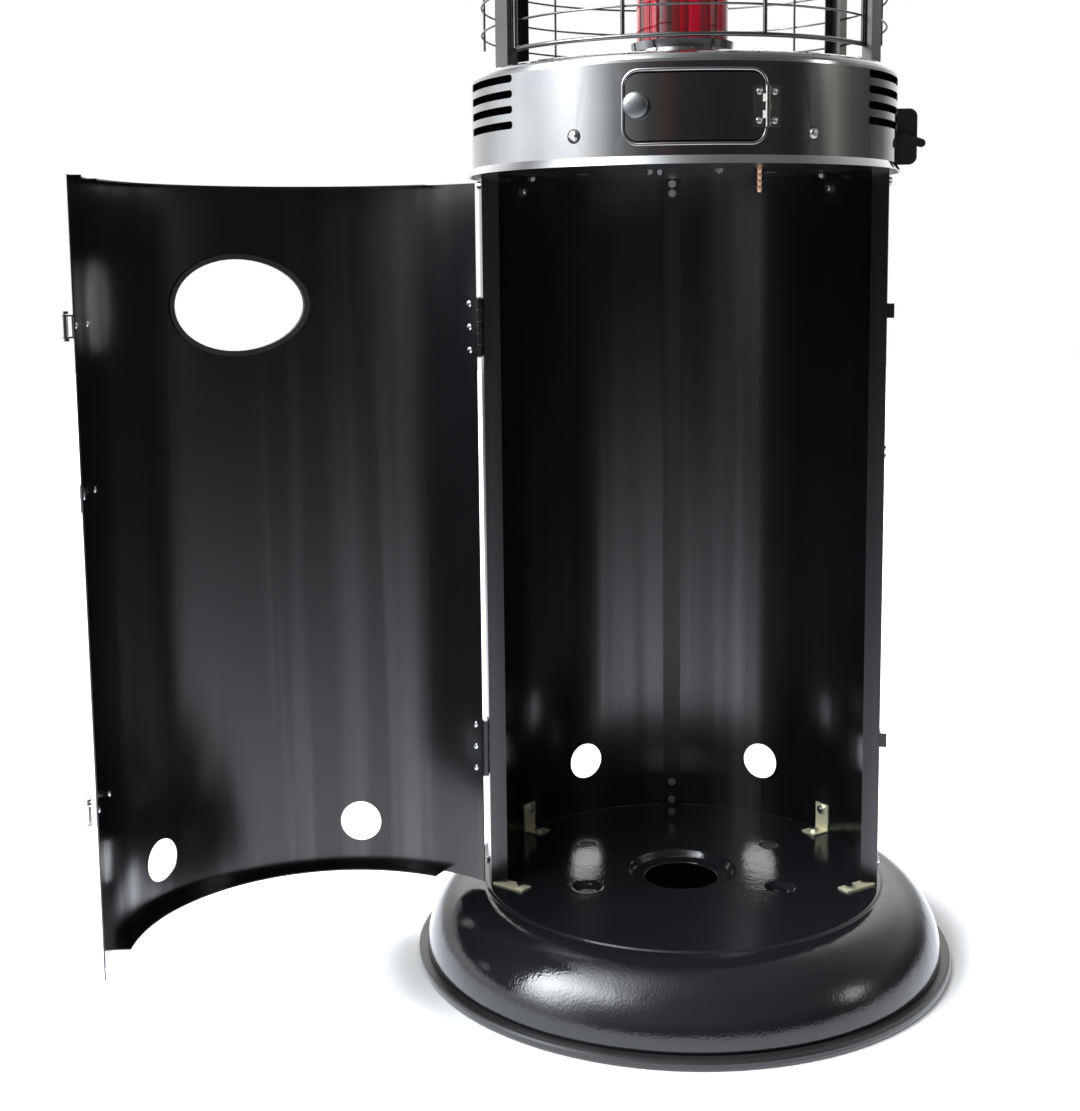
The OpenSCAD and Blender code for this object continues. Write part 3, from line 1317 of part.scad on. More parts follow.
module door_hinge_leaves() {
    pin_az = -asin(pin_x / pin_circle_r);
    turn = leaf_w / door_r * 180 / PI;
    color([0.1, 0.1, 0.1]) swung() for (z = [upper_hinge_z, lower_hinge_z]) difference() {
        union() {
            arc_wall(door_r + weld_gap, door_r + sheet, z - hinge_len / 2, z + hinge_len / 2,
                -door_half_az + 0.2, -door_half_az + turn);
            translate([-pin_x, -pin_y, z]) knuckle_row(hinge_len, knuckles, 1, knuckle_r, pin_r + run_gap, knuckle_gap);
            translate([0, 0, z]) knuckle_webs(hinge_len, knuckles, 1, knuckle_gap)
                polygon([for (p = [[door_r, -door_half_az + 0.6], [door_r + sheet, -door_half_az + 0.6],
                    [pin_circle_r + knuckle_r * 0.8, pin_az + 0.3], [pin_circle_r + knuckle_r * 0.1, pin_az + 0.5],
                    [door_r, -door_half_az]])
                    [p[0] * sin(p[1]), -p[0] * cos(p[1])]]);
        }
        translate([-pin_x, -pin_y, z - hinge_len / 2 - cut])
            cylinder(r = pin_r + run_gap, h = hinge_len + 2 * cut, $fn = 48);
        for (p = hinge_rivets()) radial_hole(p[0], p[1], rivet_r + bolt_gap, door_r, sheet * 3);
    }
}

module door_rivets() {
    color([0.8, 0.8, 0.82]) swung() for (p = concat(hinge_rivets(), pair_rivets()))
        skin_rivet(p[0], p[1], sheet);
}

module door_plate() {
    color([0.6, 0.6, 0.62]) swung() difference() {
        arc_wall(door_r + weld_gap, door_r + sheet, plate_z - plate_h / 2, plate_z + plate_h / 2,
            plate_az - plate_half_az * 1.3, plate_az + plate_half_az * 1.3);
        for (p = pair_rivets()) radial_hole(p[0], p[1], rivet_r + bolt_gap, door_r, sheet * 3);
    }
}

// A latch's base: a plate on the door with two ears and the lever's pin
module latch_base(z) {
    difference() {
        union() {
            arc_wall(door_r + weld_gap, door_r + latch_sheet, z - latch_h / 2, z + latch_h / 2,
                latch_az + latch_base_az_0, latch_az + latch_base_az_1);
            at_azimuth(latch_az) for (s = [-1, 1])
                translate([0, 0, z + s * (latch_h / 2 - latch_ear_t / 2) - latch_ear_t / 2]) {
                    translate([door_r + latch_sheet / 2, -latch_ear_r, 0])
                        cube([latch_pivot_out - latch_sheet / 2, 2 * latch_ear_r, latch_ear_t]);
                    translate([latch_pivot_r, 0, 0]) cylinder(r = latch_ear_r, h = latch_ear_t, $fn = 48);
                }
            at_azimuth(latch_az) translate([latch_pivot_r, 0, z - latch_h / 2]) cylinder(r = latch_pin_r, h = latch_h, $fn = 48);
        }
        for (p = pair_rivets()) radial_hole(p[0], p[1], rivet_r + bolt_gap, door_r, sheet * 3);
    }
}

module latch_bases() {
    color([0.78, 0.78, 0.8]) swung() {
        latch_base(upper_latch_z);
        latch_base(lower_latch_z);
    }
}

// A latch's lever, with a tube on the pin and a stub on each side for the wire
module latch_lever(z) {
    h = latch_lever_h;
    color([0.8, 0.8, 0.82]) swung() at_azimuth(latch_az) translate([latch_pivot_r, 0, z]) difference() {
        union() {
            translate([0, 0, -h / 2]) cylinder(r = latch_tube_r, h = h, $fn = 48);
            translate([latch_tube_r - latch_sheet, -latch_lever_len, -h / 2]) cube([latch_sheet, latch_lever_len, h]);
            for (s = [0, 1]) mirror([0, 0, s]) translate([-stub_eye_r, -stub_back - stub_eye_r, h / 2 - latch_sheet])
                cube([stub_eye_r + latch_tube_r, stub_back + stub_eye_r - latch_pin_r * 1.4, latch_sheet]);
            translate([0, -stub_back, -bail_half_h - bail_r]) cylinder(r = stub_r, h = 2 * (bail_half_h + bail_r), $fn = 48);
            translate([latch_tube_r - latch_sheet, -latch_lever_len, -h / 2])
                rotate([0, 0, 35]) translate([0, -latch_sheet * 4, 0]) cube([latch_sheet, latch_sheet * 4.4, h]);
        }
        translate([0, 0, -h / 2 - cut]) cylinder(r = latch_pin_r + run_gap, h = h + 2 * cut, $fn = 48);
    }
}

module upper_latch_lever() { latch_lever(upper_latch_z); }
module lower_latch_lever() { latch_lever(lower_latch_z); }

// A latch's wire: two eyes on the stubs, two legs and a cross bar
module latch_bail(z) {
    hh = bail_half_h;
    color([0.82, 0.82, 0.84]) swung() at_azimuth(latch_az) translate([latch_pivot_r, -stub_back, z])
        rotate([0, 0, bail_rest_turn - 90]) {
            for (s = [-1, 1]) {
                translate([0, 0, s * hh - bail_r]) difference() {
                    cylinder(r = stub_eye_r + stub_r / 2, h = bail_d, $fn = 48);
                    translate([0, 0, -cut]) cylinder(r = stub_r + run_gap, h = bail_d + 2 * cut, $fn = 48);
                }
                translate([stub_eye_r, 0, s * hh]) rotate([0, 90, 0]) cylinder(r = bail_r, h = bail_len - stub_eye_r, $fn = 24);
                translate([bail_len, 0, s * hh]) sphere(r = bail_r, $fn = 24);
            }
            translate([bail_len, 0, -hh]) cylinder(r = bail_r, h = 2 * hh, $fn = 24);
        }
}

module upper_latch_bail() { latch_bail(upper_latch_z); }
module lower_latch_bail() { latch_bail(lower_latch_z); }

base_pan();
base_edge_trim();
shell_left();
shell_right();
rear_seam_strip();
floor_brackets();
top_brackets();
cabinet_bolts();
door_catches();
shell_hinge_leaves();
hinge_pins();
burner_deck();
control_ring();
ring_top_plate();
ring_screws();
hose_barb();
gas_inlet_pipe();
gas_valve();
control_panel();
burner_pipe();
burner_cup();
burner_head();
pilot_burner();
spark_electrode();
thermocouple();
lead_wires();
piezo_igniter();
tilt_switch();
tube_socket();
tube_gaskets();
glass_tube();
upper_collar();
top_plate();
guard_posts();
front_guard();
left_guard();
right_guard();
rear_guard();
reflector_hat();
hat_spacers();
hat_nuts();
side_bracket();
ring_hinge_leaf();
door_panel();
porthole_trim();
door_hinge_leaves();
door_rivets();
latch_bases();
door_plate();
upper_latch_lever();
lower_latch_lever();
upper_latch_bail();
lower_latch_bail();
control_door();
control_door_knob();
control_door_leaf();
gas_knob();
valve_spindle();
piezo_button();
side_lever();
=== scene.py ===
import json
import math
import bmesh
import bpy
import numpy as np
from mathutils import Matrix, Vector

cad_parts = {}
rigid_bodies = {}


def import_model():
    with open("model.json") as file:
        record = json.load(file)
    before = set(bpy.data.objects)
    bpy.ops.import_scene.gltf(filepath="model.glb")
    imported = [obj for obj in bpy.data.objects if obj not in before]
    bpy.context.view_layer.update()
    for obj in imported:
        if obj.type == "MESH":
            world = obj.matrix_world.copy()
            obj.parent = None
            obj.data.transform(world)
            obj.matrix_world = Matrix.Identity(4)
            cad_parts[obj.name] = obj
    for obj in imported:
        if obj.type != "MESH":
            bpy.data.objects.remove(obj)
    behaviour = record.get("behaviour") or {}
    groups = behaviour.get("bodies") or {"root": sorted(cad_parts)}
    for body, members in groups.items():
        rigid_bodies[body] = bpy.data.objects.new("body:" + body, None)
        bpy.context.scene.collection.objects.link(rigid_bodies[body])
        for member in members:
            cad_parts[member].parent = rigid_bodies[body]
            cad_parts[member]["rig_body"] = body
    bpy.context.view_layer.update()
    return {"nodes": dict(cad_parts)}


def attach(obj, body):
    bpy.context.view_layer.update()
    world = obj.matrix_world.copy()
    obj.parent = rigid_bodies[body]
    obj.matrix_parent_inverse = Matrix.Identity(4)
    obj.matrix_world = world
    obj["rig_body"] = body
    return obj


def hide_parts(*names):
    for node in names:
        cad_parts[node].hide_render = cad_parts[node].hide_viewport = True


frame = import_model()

# The eye. It stands a little left of the heater's front, somewhat below the top of the cabinet,
# and looks slightly down. A small lens shift keeps the posts nearly upright.
eye_place = Vector((-0.0886, -1.6071, 0.7082))
eye_yaw, eye_pitch, eye_roll = 0.0337, 0.1303, -0.0102
lens_px, frame_long_px, film_width = 1603.7, 1111, 36
lens_shift, near_limit, far_limit = -0.075, 0.05, 60
sight = Vector((
    -math.sin(eye_yaw) * math.cos(eye_pitch),
    math.cos(eye_yaw) * math.cos(eye_pitch),
    -math.sin(eye_pitch)))
level_right = Vector((math.cos(eye_yaw), math.sin(eye_yaw), 0))
level_up = level_right.cross(sight)
eye_right = math.cos(eye_roll) * level_right + math.sin(eye_roll) * level_up
eye_up = -math.sin(eye_roll) * level_right + math.cos(eye_roll) * level_up
eye = bpy.data.cameras.new("eye")
eye.sensor_width = film_width
eye.lens = lens_px / frame_long_px * film_width
eye.shift_y = lens_shift
eye.clip_start, eye.clip_end = near_limit, far_limit
eye_object = bpy.data.objects.new("eye", eye)
bpy.context.collection.objects.link(eye_object)
eye_object.matrix_world = Matrix((
    (eye_right.x, eye_up.x, -sight.x, eye_place.x),
    (eye_right.y, eye_up.y, -sight.y, eye_place.y),
    (eye_right.z, eye_up.z, -sight.z, eye_place.z),
    (0, 0, 0, 1)))
bpy.context.scene.camera = eye_object
bpy.context.scene.view_settings.view_transform = "Standard"


# The room. A white sweep behind the heater, a big soft box high on its left, a bright wall
# left of it and a dim workshop in front, which is what the enamel and the steel mirror.
# Straight to the eye the room is plain white.
class Level:
    """A socket of a node tree, which sums, products and other maths are written on."""

    def __init__(self, plan, socket):
        self.plan, self.socket = plan, socket

    def maths(self, operation, *others):
        """A maths node on this value and the others, in that order."""
        return self.plan.node("ShaderNodeMath", {"operation": operation}, self, *others)

    def __add__(self, other):
        return self.maths("ADD", other)

    def __sub__(self, other):
        return self.maths("SUBTRACT", other)

    def __rsub__(self, other):
        return self.plan.node("ShaderNodeMath", {"operation": "SUBTRACT"}, other, self)

    def __mul__(self, other):
        return self.maths("MULTIPLY", other)

    def __truediv__(self, other):
        return self.maths("DIVIDE", other)

    def __pow__(self, other):
        return self.maths("POWER", other)

    def __gt__(self, other):
        return self.maths("GREATER_THAN", other)

    def span(self, low, high, new_low=0.0, new_high=1.0):
        """This value eased from low..high onto new_low..new_high, and held beyond them."""
        eased = {"interpolation_type": "SMOOTHSTEP"}
        return self.plan.node("ShaderNodeMapRange", eased, self, low, high, new_low, new_high)

    def parts(self):
        """The three parts of a place or direction."""
        split = self.plan.tree.nodes.new("ShaderNodeSeparateXYZ")
        self.plan.tree.links.new(self.socket, split.inputs[0])
        return [Level(self.plan, socket) for socket in split.outputs]


class Plan:
    """A node tree written as expressions: the room's, a finish's or a shape's."""

    def __init__(self, tree):
        self.tree = tree

    def node(self, kind, settings, *inputs, out=0, **named):
        """Adds a node: its settings first, then values or links by position or by socket name."""
        made = self.tree.nodes.new(kind)
        for key, value in settings.items():
            setattr(made, key, value)
        by_name = [(key.replace("_", " "), value) for key, value in named.items()]
        for key, value in [*enumerate(inputs), *by_name]:
            if isinstance(value, Level):
                self.tree.links.new(value.socket, made.inputs[key])
            else:
                made.inputs[key].default_value = value
        return Level(self, made.outputs[out])

    def ramp(self, level, *stops):
        """A colour ramp over level: stops are (place, colour). A new ramp has its first two."""
        made = self.tree.nodes.new("ShaderNodeValToRGB")
        bar = made.color_ramp
        for index, (place, colour) in enumerate(stops):
            stop = bar.elements[index] if index < 2 else bar.elements.new(place)
            stop.position = place
            stop.color = (*colour, 1)
        self.tree.links.new(level.socket, made.inputs[0])
        return Level(self, made.outputs[0])

    def blend_colours(self, share, first, second):
        """Two colours mixed: share 0 gives the first and 1 the second."""
        made = self.tree.nodes.new("ShaderNodeMix")
        made.data_type = "RGBA"
        share_in, first_in, second_in, colour_out = 0, 6, 7, 2
        for index, value in ((share_in, share), (first_in, first), (second_in, second)):
            if isinstance(value, Level):
                self.tree.links.new(value.socket, made.inputs[index])
            else:
                made.inputs[index].default_value = value if index == share_in else (*value, 1)
        return Level(self, made.outputs[colour_out])


room = bpy.data.worlds.new("room")
room.use_nodes = True
bpy.context.scene.world = room
room.node_tree.nodes.clear()
sky = Plan(room.node_tree)
aim = sky.node("ShaderNodeTexCoord", {}, out="Generated")
aim_right, aim_back, aim_up = aim.parts()
azimuth = aim_right.maths("ARCTAN2", aim_back * -1)
turn_share = azimuth * (0.5 / math.pi) + 0.5
tint_cold, tint_warm, tint_red = (0.94, 0.975, 1.0), (1.0, 0.955, 0.86), (1.0, 0.72, 0.7)
level_scale = 2.0


def stop(degrees, level, tint=(1, 1, 1)):
    """A ramp stop at an azimuth. Levels are halved here and doubled again after the ramp."""
    return (degrees / 360 + 0.5, tuple(level / level_scale * c for c in tint))


def lobe(degrees, height, spread, level):
    """A round soft light centred on an azimuth and height, all in degrees."""
    turn, rise, width = math.radians(degrees), math.radians(height), math.radians(spread)
    centre = (math.sin(turn) * math.cos(rise), -math.cos(turn) * math.cos(rise), math.sin(rise))
    closeness = sky.node("ShaderNodeVectorMath", {"operation": "DOT_PRODUCT"}, aim, centre, out="Value")
    return ((closeness - 1) * (2 / width / width)).maths("EXPONENT") * level


def brightened(colour, scale):
    """A colour times a scale."""
    return sky.node("ShaderNodeVectorMath", {"operation": "SCALE"}, colour, Scale=scale)


level_band = sky.ramp(
    turn_share,
    stop(-180, 1.1), stop(-132, 0.9),
    stop(-118, 1.3, tint_cold), stop(-99, 1.6, tint_cold), stop(-84, 1.25, tint_cold),
    stop(-72, 1.3, tint_cold), stop(-58, 1.45, tint_cold), stop(-47, 0.95, tint_cold),
    stop(-39, 0.45, tint_cold), stop(-29, 0.22), stop(-20, 0.09), stop(-12, 0.09, tint_red),
    stop(-3, 0.04), stop(20, 0.03), stop(41, 0.04), stop(54, 0.03), stop(61, 0.035),
    stop(67, 0.1, tint_warm), stop(73, 0.06), stop(83, 0.3, tint_warm), stop(89, 0.2, tint_warm),
    stop(96, 0.12), stop(112, 0.08), stop(128, 0.2), stop(148, 0.8), stop(180, 1.1))
upper = sky.ramp(
    turn_share,
    stop(-180, 2.0), stop(-150, 2.0), stop(-120, 0.5), stop(-90, 0.9, tint_cold),
    stop(-45, 0.7, tint_cold), stop(-10, 0.25), stop(30, 0.14), stop(90, 0.2),
    stop(130, 0.8), stop(150, 1.6), stop(180, 2.0))
band_end, ceiling_start, ceiling = (0.1, 0.34), (0.6, 0.98), (0.12, 0.12, 0.12)
walls = sky.blend_colours(aim_up.span(*band_end), level_band, upper)
walls = sky.blend_colours(aim_up.span(*ceiling_start), walls, ceiling)
soft_box = lobe(-71, 34, 15, 22) + lobe(-66, 54, 18, 6) + lobe(-45, 40, 11, 6) + lobe(-64, 19, 8, 6)
small_lamp = lobe(76, 16, 5, 5.5) + lobe(76, 20, 9, 0.6)
lights = sky.node(
    "ShaderNodeVectorMath", {"operation": "ADD"},
    brightened((0.93, 0.97, 1.0), soft_box), brightened((1.0, 0.97, 0.92), small_lamp))
mirrored = sky.node("ShaderNodeVectorMath", {"operation": "ADD"}, lights, brightened(walls, level_scale))
straight = sky.node("ShaderNodeLightPath", {}, out="Is Camera Ray")
lit = sky.node("ShaderNodeBackground", {}, mirrored, 1.0)
seen = sky.node("ShaderNodeBackground", {}, (1, 1, 1, 1), 1.0)
both = sky.node("ShaderNodeMixShader", {}, straight, lit, seen)
sky.tree.links.new(both.socket, sky.tree.nodes.new("ShaderNodeOutputWorld").inputs[0])

# The floor. A pale matt sweep that the lights overexpose. Its paint turns black under the base, a
# painted shade, and beyond the base it has a painted glow to the eye that hides its shadow. In the
# mirrors of the enamel it is a painted glow, brighter on the left, that falls off into the dim workshop.
floor_half, floor_drop = 9, 0.0003
floor_corners = [
    (x * floor_half, y * floor_half, -floor_drop)
    for x, y in ((-1, -1), (1, -1), (1, 1), (-1, 1))]
floor_mesh = bpy.data.meshes.new("floor")
floor_mesh.from_pydata(floor_corners, [], [(0, 1, 2, 3)])
floor = bpy.data.objects.new("floor", floor_mesh)
bpy.context.collection.objects.link(floor)
floor_paint = bpy.data.materials.new("pale_sweep")
floor_paint.use_nodes = True
sweep = Plan(floor_paint.node_tree)
sweep_shader = floor_paint.node_tree.nodes["Principled BSDF"]
sweep_x, sweep_y = sweep.node("ShaderNodeTexCoord", {}, out="Object").parts()[:2]
distance = (sweep_x * sweep_x + sweep_y * sweep_y) ** 0.5
in_mirror = sweep.node("ShaderNodeLightPath", {}, out="Is Glossy Ray")
near_fall, far_fall, far_level, seen_level = -0.8, -0.1, 0.21, 0.6
# Painted light in mirrors: a glow, brighter on the left, that falls off with distance from the heater.
near = (distance * near_fall).maths("EXPONENT") * sweep_x.span(-0.7, 0.7, 3.0, 2.3)
far = (distance * far_fall).maths("EXPONENT") * far_level
painted_mirror_glow = near * distance.span(0.2, 0.3) + far
# Painted shade: the paint turns black under the base, where the heater shades the floor.
painted_shade_under_base = distance.span(0.24, 0.27, 1.0, 0.0)
pale, black = (0.93, 0.93, 0.93), (0.0, 0.0, 0.0)
paint = sweep.blend_colours(in_mirror.maths("MAXIMUM", painted_shade_under_base), pale, black)
seen_floor = sweep.node("ShaderNodeLightPath", {}, out="Is Camera Ray")
# Painted light: a glow beyond the base that hides the floor's shadow from the eye, plus the glow in
# mirrors.
painted_floor_glow = seen_floor * distance.span(0.28, 0.33, 0.0, seen_level) + in_mirror * painted_mirror_glow
sweep.tree.links.new(paint.socket, sweep_shader.inputs["Base Color"])
sweep.tree.links.new(painted_floor_glow.socket, sweep_shader.inputs["Emission Strength"])
sweep_shader.inputs["Roughness"].default_value = 0.95
sweep_shader.inputs["Emission Color"].default_value = (0.94, 0.98, 1.06, 1)
floor_mesh.materials.append(floor_paint)


# Base pan. One round tray of 1.5 mm steel, spun to a domed skirt round a flat floor, with a
# recessed hole for the cylinder's foot, two drain holes and two dimples. It is dipped in
# gloss black enamel, which dries with a fine orange peel.
def start_material(name):
    """A new material, its plan, its Principled shader and the place on the object."""
    made = bpy.data.materials.new(name)
    made.use_nodes = True
    plan = Plan(made.node_tree)
    shader = made.node_tree.nodes["Principled BSDF"]
    return made, plan, shader, plan.node("ShaderNodeTexCoord", {}, out="Object")


def feed(plan, shader, **levels):
    """Sets or links the shader's sockets, with _ for each space in a name."""
    for key, value in levels.items():
        socket = shader.inputs[key.replace("_", " ")]
        if isinstance(value, Level):
            plan.tree.links.new(value.socket, socket)
        else:
            socket.default_value = value


def shaded(colour, share):
    """A colour made darker or lighter, up to white."""
    return tuple(min(1, c * share) for c in colour)


def grain(plan, place, scale, detail=3.0, roughness=0.55, stretch=(1, 1, 1)):
    """Even noise from 0 to 1, stretched along the axes."""
    at = place if stretch == (1, 1, 1) else plan.node("ShaderNodeMapping", {}, place, Scale=stretch)
    settings = {"normalize": True}
    return plan.node("ShaderNodeTexNoise", settings, at, Scale=scale, Detail=detail, Roughness=roughness)


def specks(plan, place, scale, size, rarity):
    """A mask of sparse round specks: size is their radius in cells, rarity the share left out."""
    cells = plan.node("ShaderNodeTexVoronoi", {}, place, Scale=scale)
    cell_colour = Level(plan, cells.socket.node.outputs["Color"])
    red = plan.node("ShaderNodeSeparateColor", {}, cell_colour)
    return cells.span(size, size * 0.6) * (red > rarity)


def enamel(name, colour, peel, rough, haze=0.05, rolling=0.0):
    """Gloss stoved enamel: orange peel, the upright waves of rolled sheet, faint haze and dust."""
    made, plan, shader, place = start_material(name)
    cloud = grain(plan, place, scale=7.0)
    fine = grain(plan, place, scale=380.0, detail=1.5, roughness=0.5)
    wave = grain(plan, place, scale=38.0, detail=1.0)
    dust = specks(plan, place, scale=55.0, size=0.022, rarity=0.86)
    rolls = grain(plan, place, scale=34.0, detail=2.0, roughness=0.5, stretch=(1, 1, 0.025))
    tint = plan.blend_colours(cloud, shaded(colour, 0.7), shaded(colour, 1.35))
    tint = plan.blend_colours(dust * 0.5, tint, (0.4, 0.41, 0.43))
    height = (fine + wave * 2.2) * peel + rolls * rolling
    lump = plan.node("ShaderNodeBump", {}, Strength=1.0, Distance=0.00003, Height=height)
    worn = cloud * haze + (rough - haze / 2) + dust * 0.3
    feed(plan, shader, Base_Color=tint, Roughness=worn, Normal=lump, IOR=1.52)
    if rolling:
        feed(plan, shader, Coat_Weight=rolls.span(0.42, 0.7, 0.0, 0.8), Coat_Roughness=rough)
    return made


def add_piece(name, mesh, material, slot, *nodes, body=None):
    """A finished piece: its material, its body and the CAD nodes that it stands for. The slot is not
    used.
    """
    mesh.materials.clear()
    mesh.materials.append(material)
    piece = bpy.data.objects.new(name, mesh)
    bpy.context.collection.objects.link(piece)
    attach(piece, body or frame["nodes"][nodes[0]]["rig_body"])
    if nodes:
        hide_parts(*nodes)


def as_shown(item):
    """The mesh of an object as its modifiers leave it. The object itself is removed."""
    bpy.context.view_layer.update()
    mesh = bpy.data.meshes.new_from_object(item.evaluated_get(bpy.context.evaluated_depsgraph_get()))
    bpy.data.objects.remove(item)
    return mesh


class Pattern(Plan):
    """A Geometry Nodes tree with named sizes. It starts from the points of its base, if it has one."""

    def __init__(self, name):
        super().__init__(bpy.data.node_groups.new(name, "GeometryNodeTree"))
        for way in ("INPUT", "OUTPUT"):
            self.tree.interface.new_socket(name="Geometry", in_out=way, socket_type="NodeSocketGeometry")
        self.entry = self.tree.nodes.new("NodeGroupInput")
        self.base = Level(self, self.entry.outputs[0])
        self.chosen = {}

    def size(self, name, value, kind="Float"):
        """A named input of the tree and the value that this piece gives it."""
        socket = self.tree.interface.new_socket(
            name=name, in_out="INPUT", socket_type="NodeSocket" + kind)
        self.chosen[socket.identifier] = value
        return Level(self, self.entry.outputs[name])

    def unit_grid(self, steps_x, steps_y):
        """A square sheet, with its two parameters: a turn from 0 to two pi and a share from 0 to 1."""
        sheet = self.node("GeometryNodeMeshGrid", {}, 1.0, 1.0, steps_x + 1, steps_y + 1)
        across, along = self.node("GeometryNodeInputPosition", {}).parts()[:2]
        return sheet, (across + 0.5) * (2 * math.pi), along + 0.5

    def moved(self, sheet, x, y, z, weld):
        """The sheet with its points set, its seam welded and its faces smooth."""
        place = self.node("ShaderNodeCombineXYZ", {}, x, y, z)
        made = self.node("GeometryNodeSetPosition", {}, sheet, Position=place)
        made = self.node("GeometryNodeMergeByDistance", {}, made, Distance=weld)
        return self.node("GeometryNodeSetShadeSmooth", {}, made)

    def grown(self, name, shape, material, base=None):
        """Ends the tree, applies it to a base mesh and returns the plain mesh that it makes."""
        real = self.node("GeometryNodeRealizeInstances", {}, shape)
        done = self.node("GeometryNodeSetMaterial", {}, real, Material=material)
        self.tree.links.new(done.socket, self.tree.nodes.new("NodeGroupOutput").inputs[0])
        seed = bpy.data.objects.new(name + "_seed", base or bpy.data.meshes.new(name + "_seed"))
        bpy.context.collection.objects.link(seed)
        growth = seed.modifiers.new(name, "NODES")
        growth.node_group = self.tree
        for identifier, value in self.chosen.items():
            growth[identifier] = value
        mesh = as_shown(seed)
        mesh.name = name
        return mesh


base_enamel = enamel("base_enamel", (0.0085, 0.009, 0.0105), peel=5.0, rough=0.12, haze=0.08)
pan = Pattern("spun_pan")
hole_r, floor_r = pan.size("Hole radius", 0.038), pan.size("Floor radius", 0.203)
shoulder_r, foot_r = pan.size("Shoulder radius", 0.206), pan.size("Foot radius", 0.264)
foot_z, shoulder_z = pan.size("Foot height", 0.0115), pan.size("Shoulder height", 0.0789)
step, recess = pan.size("Step", 0.0019), pan.size("Recess depth", 0.008)
dimple, dimple_r = pan.size("Dimple depth", 0.004), pan.size("Dimple radius", 0.013)
recess_in_r, recess_out_r = 0.0485, 0.0565
dimple_x, dimple_y, dimple_edge = 0.097, -0.051, (0.72, 1.12)
floor_share, step_share, dome_share = 0.6, 0.08, 0.32
floor_power, dome_power = 1.5, 1.05
sheet, turn, along = pan.unit_grid(288, 124)
floor_run = (along / floor_share).maths("MINIMUM", 1.0)
step_run = (along / step_share - floor_share / step_share).maths("MINIMUM", 1.0).maths("MAXIMUM", 0.0)
dome_run = (along / dome_share - (floor_share + step_share) / dome_share).maths("MAXIMUM", 0.0)
dome_turn = dome_run * (math.pi / 2)
sine, cosine = dome_turn.maths("SINE"), dome_turn.maths("COSINE").maths("MAXIMUM", 0.0)
floor_reach = hole_r + (floor_r - hole_r) * floor_run ** floor_power
radius = floor_reach + (shoulder_r - floor_r) * step_run + (foot_r - shoulder_r) * sine ** dome_power
right, back = radius * turn.maths("SINE"), radius * turn.maths("COSINE")
dish = radius.span(recess_in_r, recess_out_r, 1.0, 0.0) * recess
dents = [
    (((right - x) ** 2.0 + (back - dimple_y) ** 2.0) ** 0.5 / dimple_r).span(*dimple_edge, 1.0, 0.0)
    for x in (-dimple_x, dimple_x)]
dome_z = foot_z + (shoulder_z - foot_z) * cosine ** dome_power
height = dome_z + step * step_run.span(0.0, 1.0, 1.0, 0.0) - dish - (dents[0] + dents[1]) * dimple
pan_mesh = pan.grown("pan", pan.moved(sheet, right, back, height, weld=0.00002), base_enamel)


def drilled(mesh, places, hole_r, depth, thickness):
    """A thin mesh given its thickness, with upright round holes cut at the places."""
    shape = bmesh.new()
    for place in places:
        bmesh.ops.create_cone(
            shape, cap_ends=True, segments=48, radius1=hole_r, radius2=hole_r, depth=depth,
            matrix=Matrix.Translation(place))
    drill_mesh = bpy.data.meshes.new("drill")
    shape.to_mesh(drill_mesh)
    shape.free()
    drill, work = bpy.data.objects.new("drill", drill_mesh), bpy.data.objects.new("work", mesh)
    for item in (drill, work):
        bpy.context.collection.objects.link(item)
    wall = work.modifiers.new("wall", "SOLIDIFY")
    wall.thickness, wall.offset = thickness, -1
    holes = work.modifiers.new("holes", "BOOLEAN")
    holes.object, holes.operation, holes.solver = drill, "DIFFERENCE", "EXACT"
    cut = as_shown(work)
    bpy.data.objects.remove(drill)
    return cut


pan_sheet, drain_r, drain_depth = 0.0015, 0.010, 0.02
drain_x, drain_y, drain_z = 0.098, 0.066, 0.081
drains = [(x, drain_y, drain_z) for x in (-drain_x, drain_x)]
pan_mesh = drilled(pan_mesh, drains, drain_r, drain_depth, pan_sheet)
add_piece("pan", pan_mesh, base_enamel, "black_enamel", "base_pan")


# Edge trim. A black rubber hoop of 12 mm that is pushed over the pan's rim and carries the
# heater on the ground. It is extruded, so its finish is even and a little dull.
def moulded(name, colour, rough, pebble=0.3):
    """Moulded plastic or rubber with a light pebble and slight wear."""
    made, plan, shader, place = start_material(name)
    fine = grain(plan, place, scale=900.0, detail=2.0)
    cloud = grain(plan, place, scale=30.0)
    tint = plan.blend_colours(cloud, shaded(colour, 0.75), shaded(colour, 1.3))
    lump = plan.node("ShaderNodeBump", {}, Strength=pebble, Distance=0.00005, Height=fine)
    feed(plan, shader, Base_Color=tint, Roughness=cloud * 0.15 + (rough - 0.07), Normal=lump)
    return made


def read(collection, key, width, kind=float):
    """One property of all the items of a mesh, in rows of three."""
    values = np.empty(len(collection) * width, dtype=kind)
    collection.foreach_get(key, values)
    return values.reshape(-1, 3)


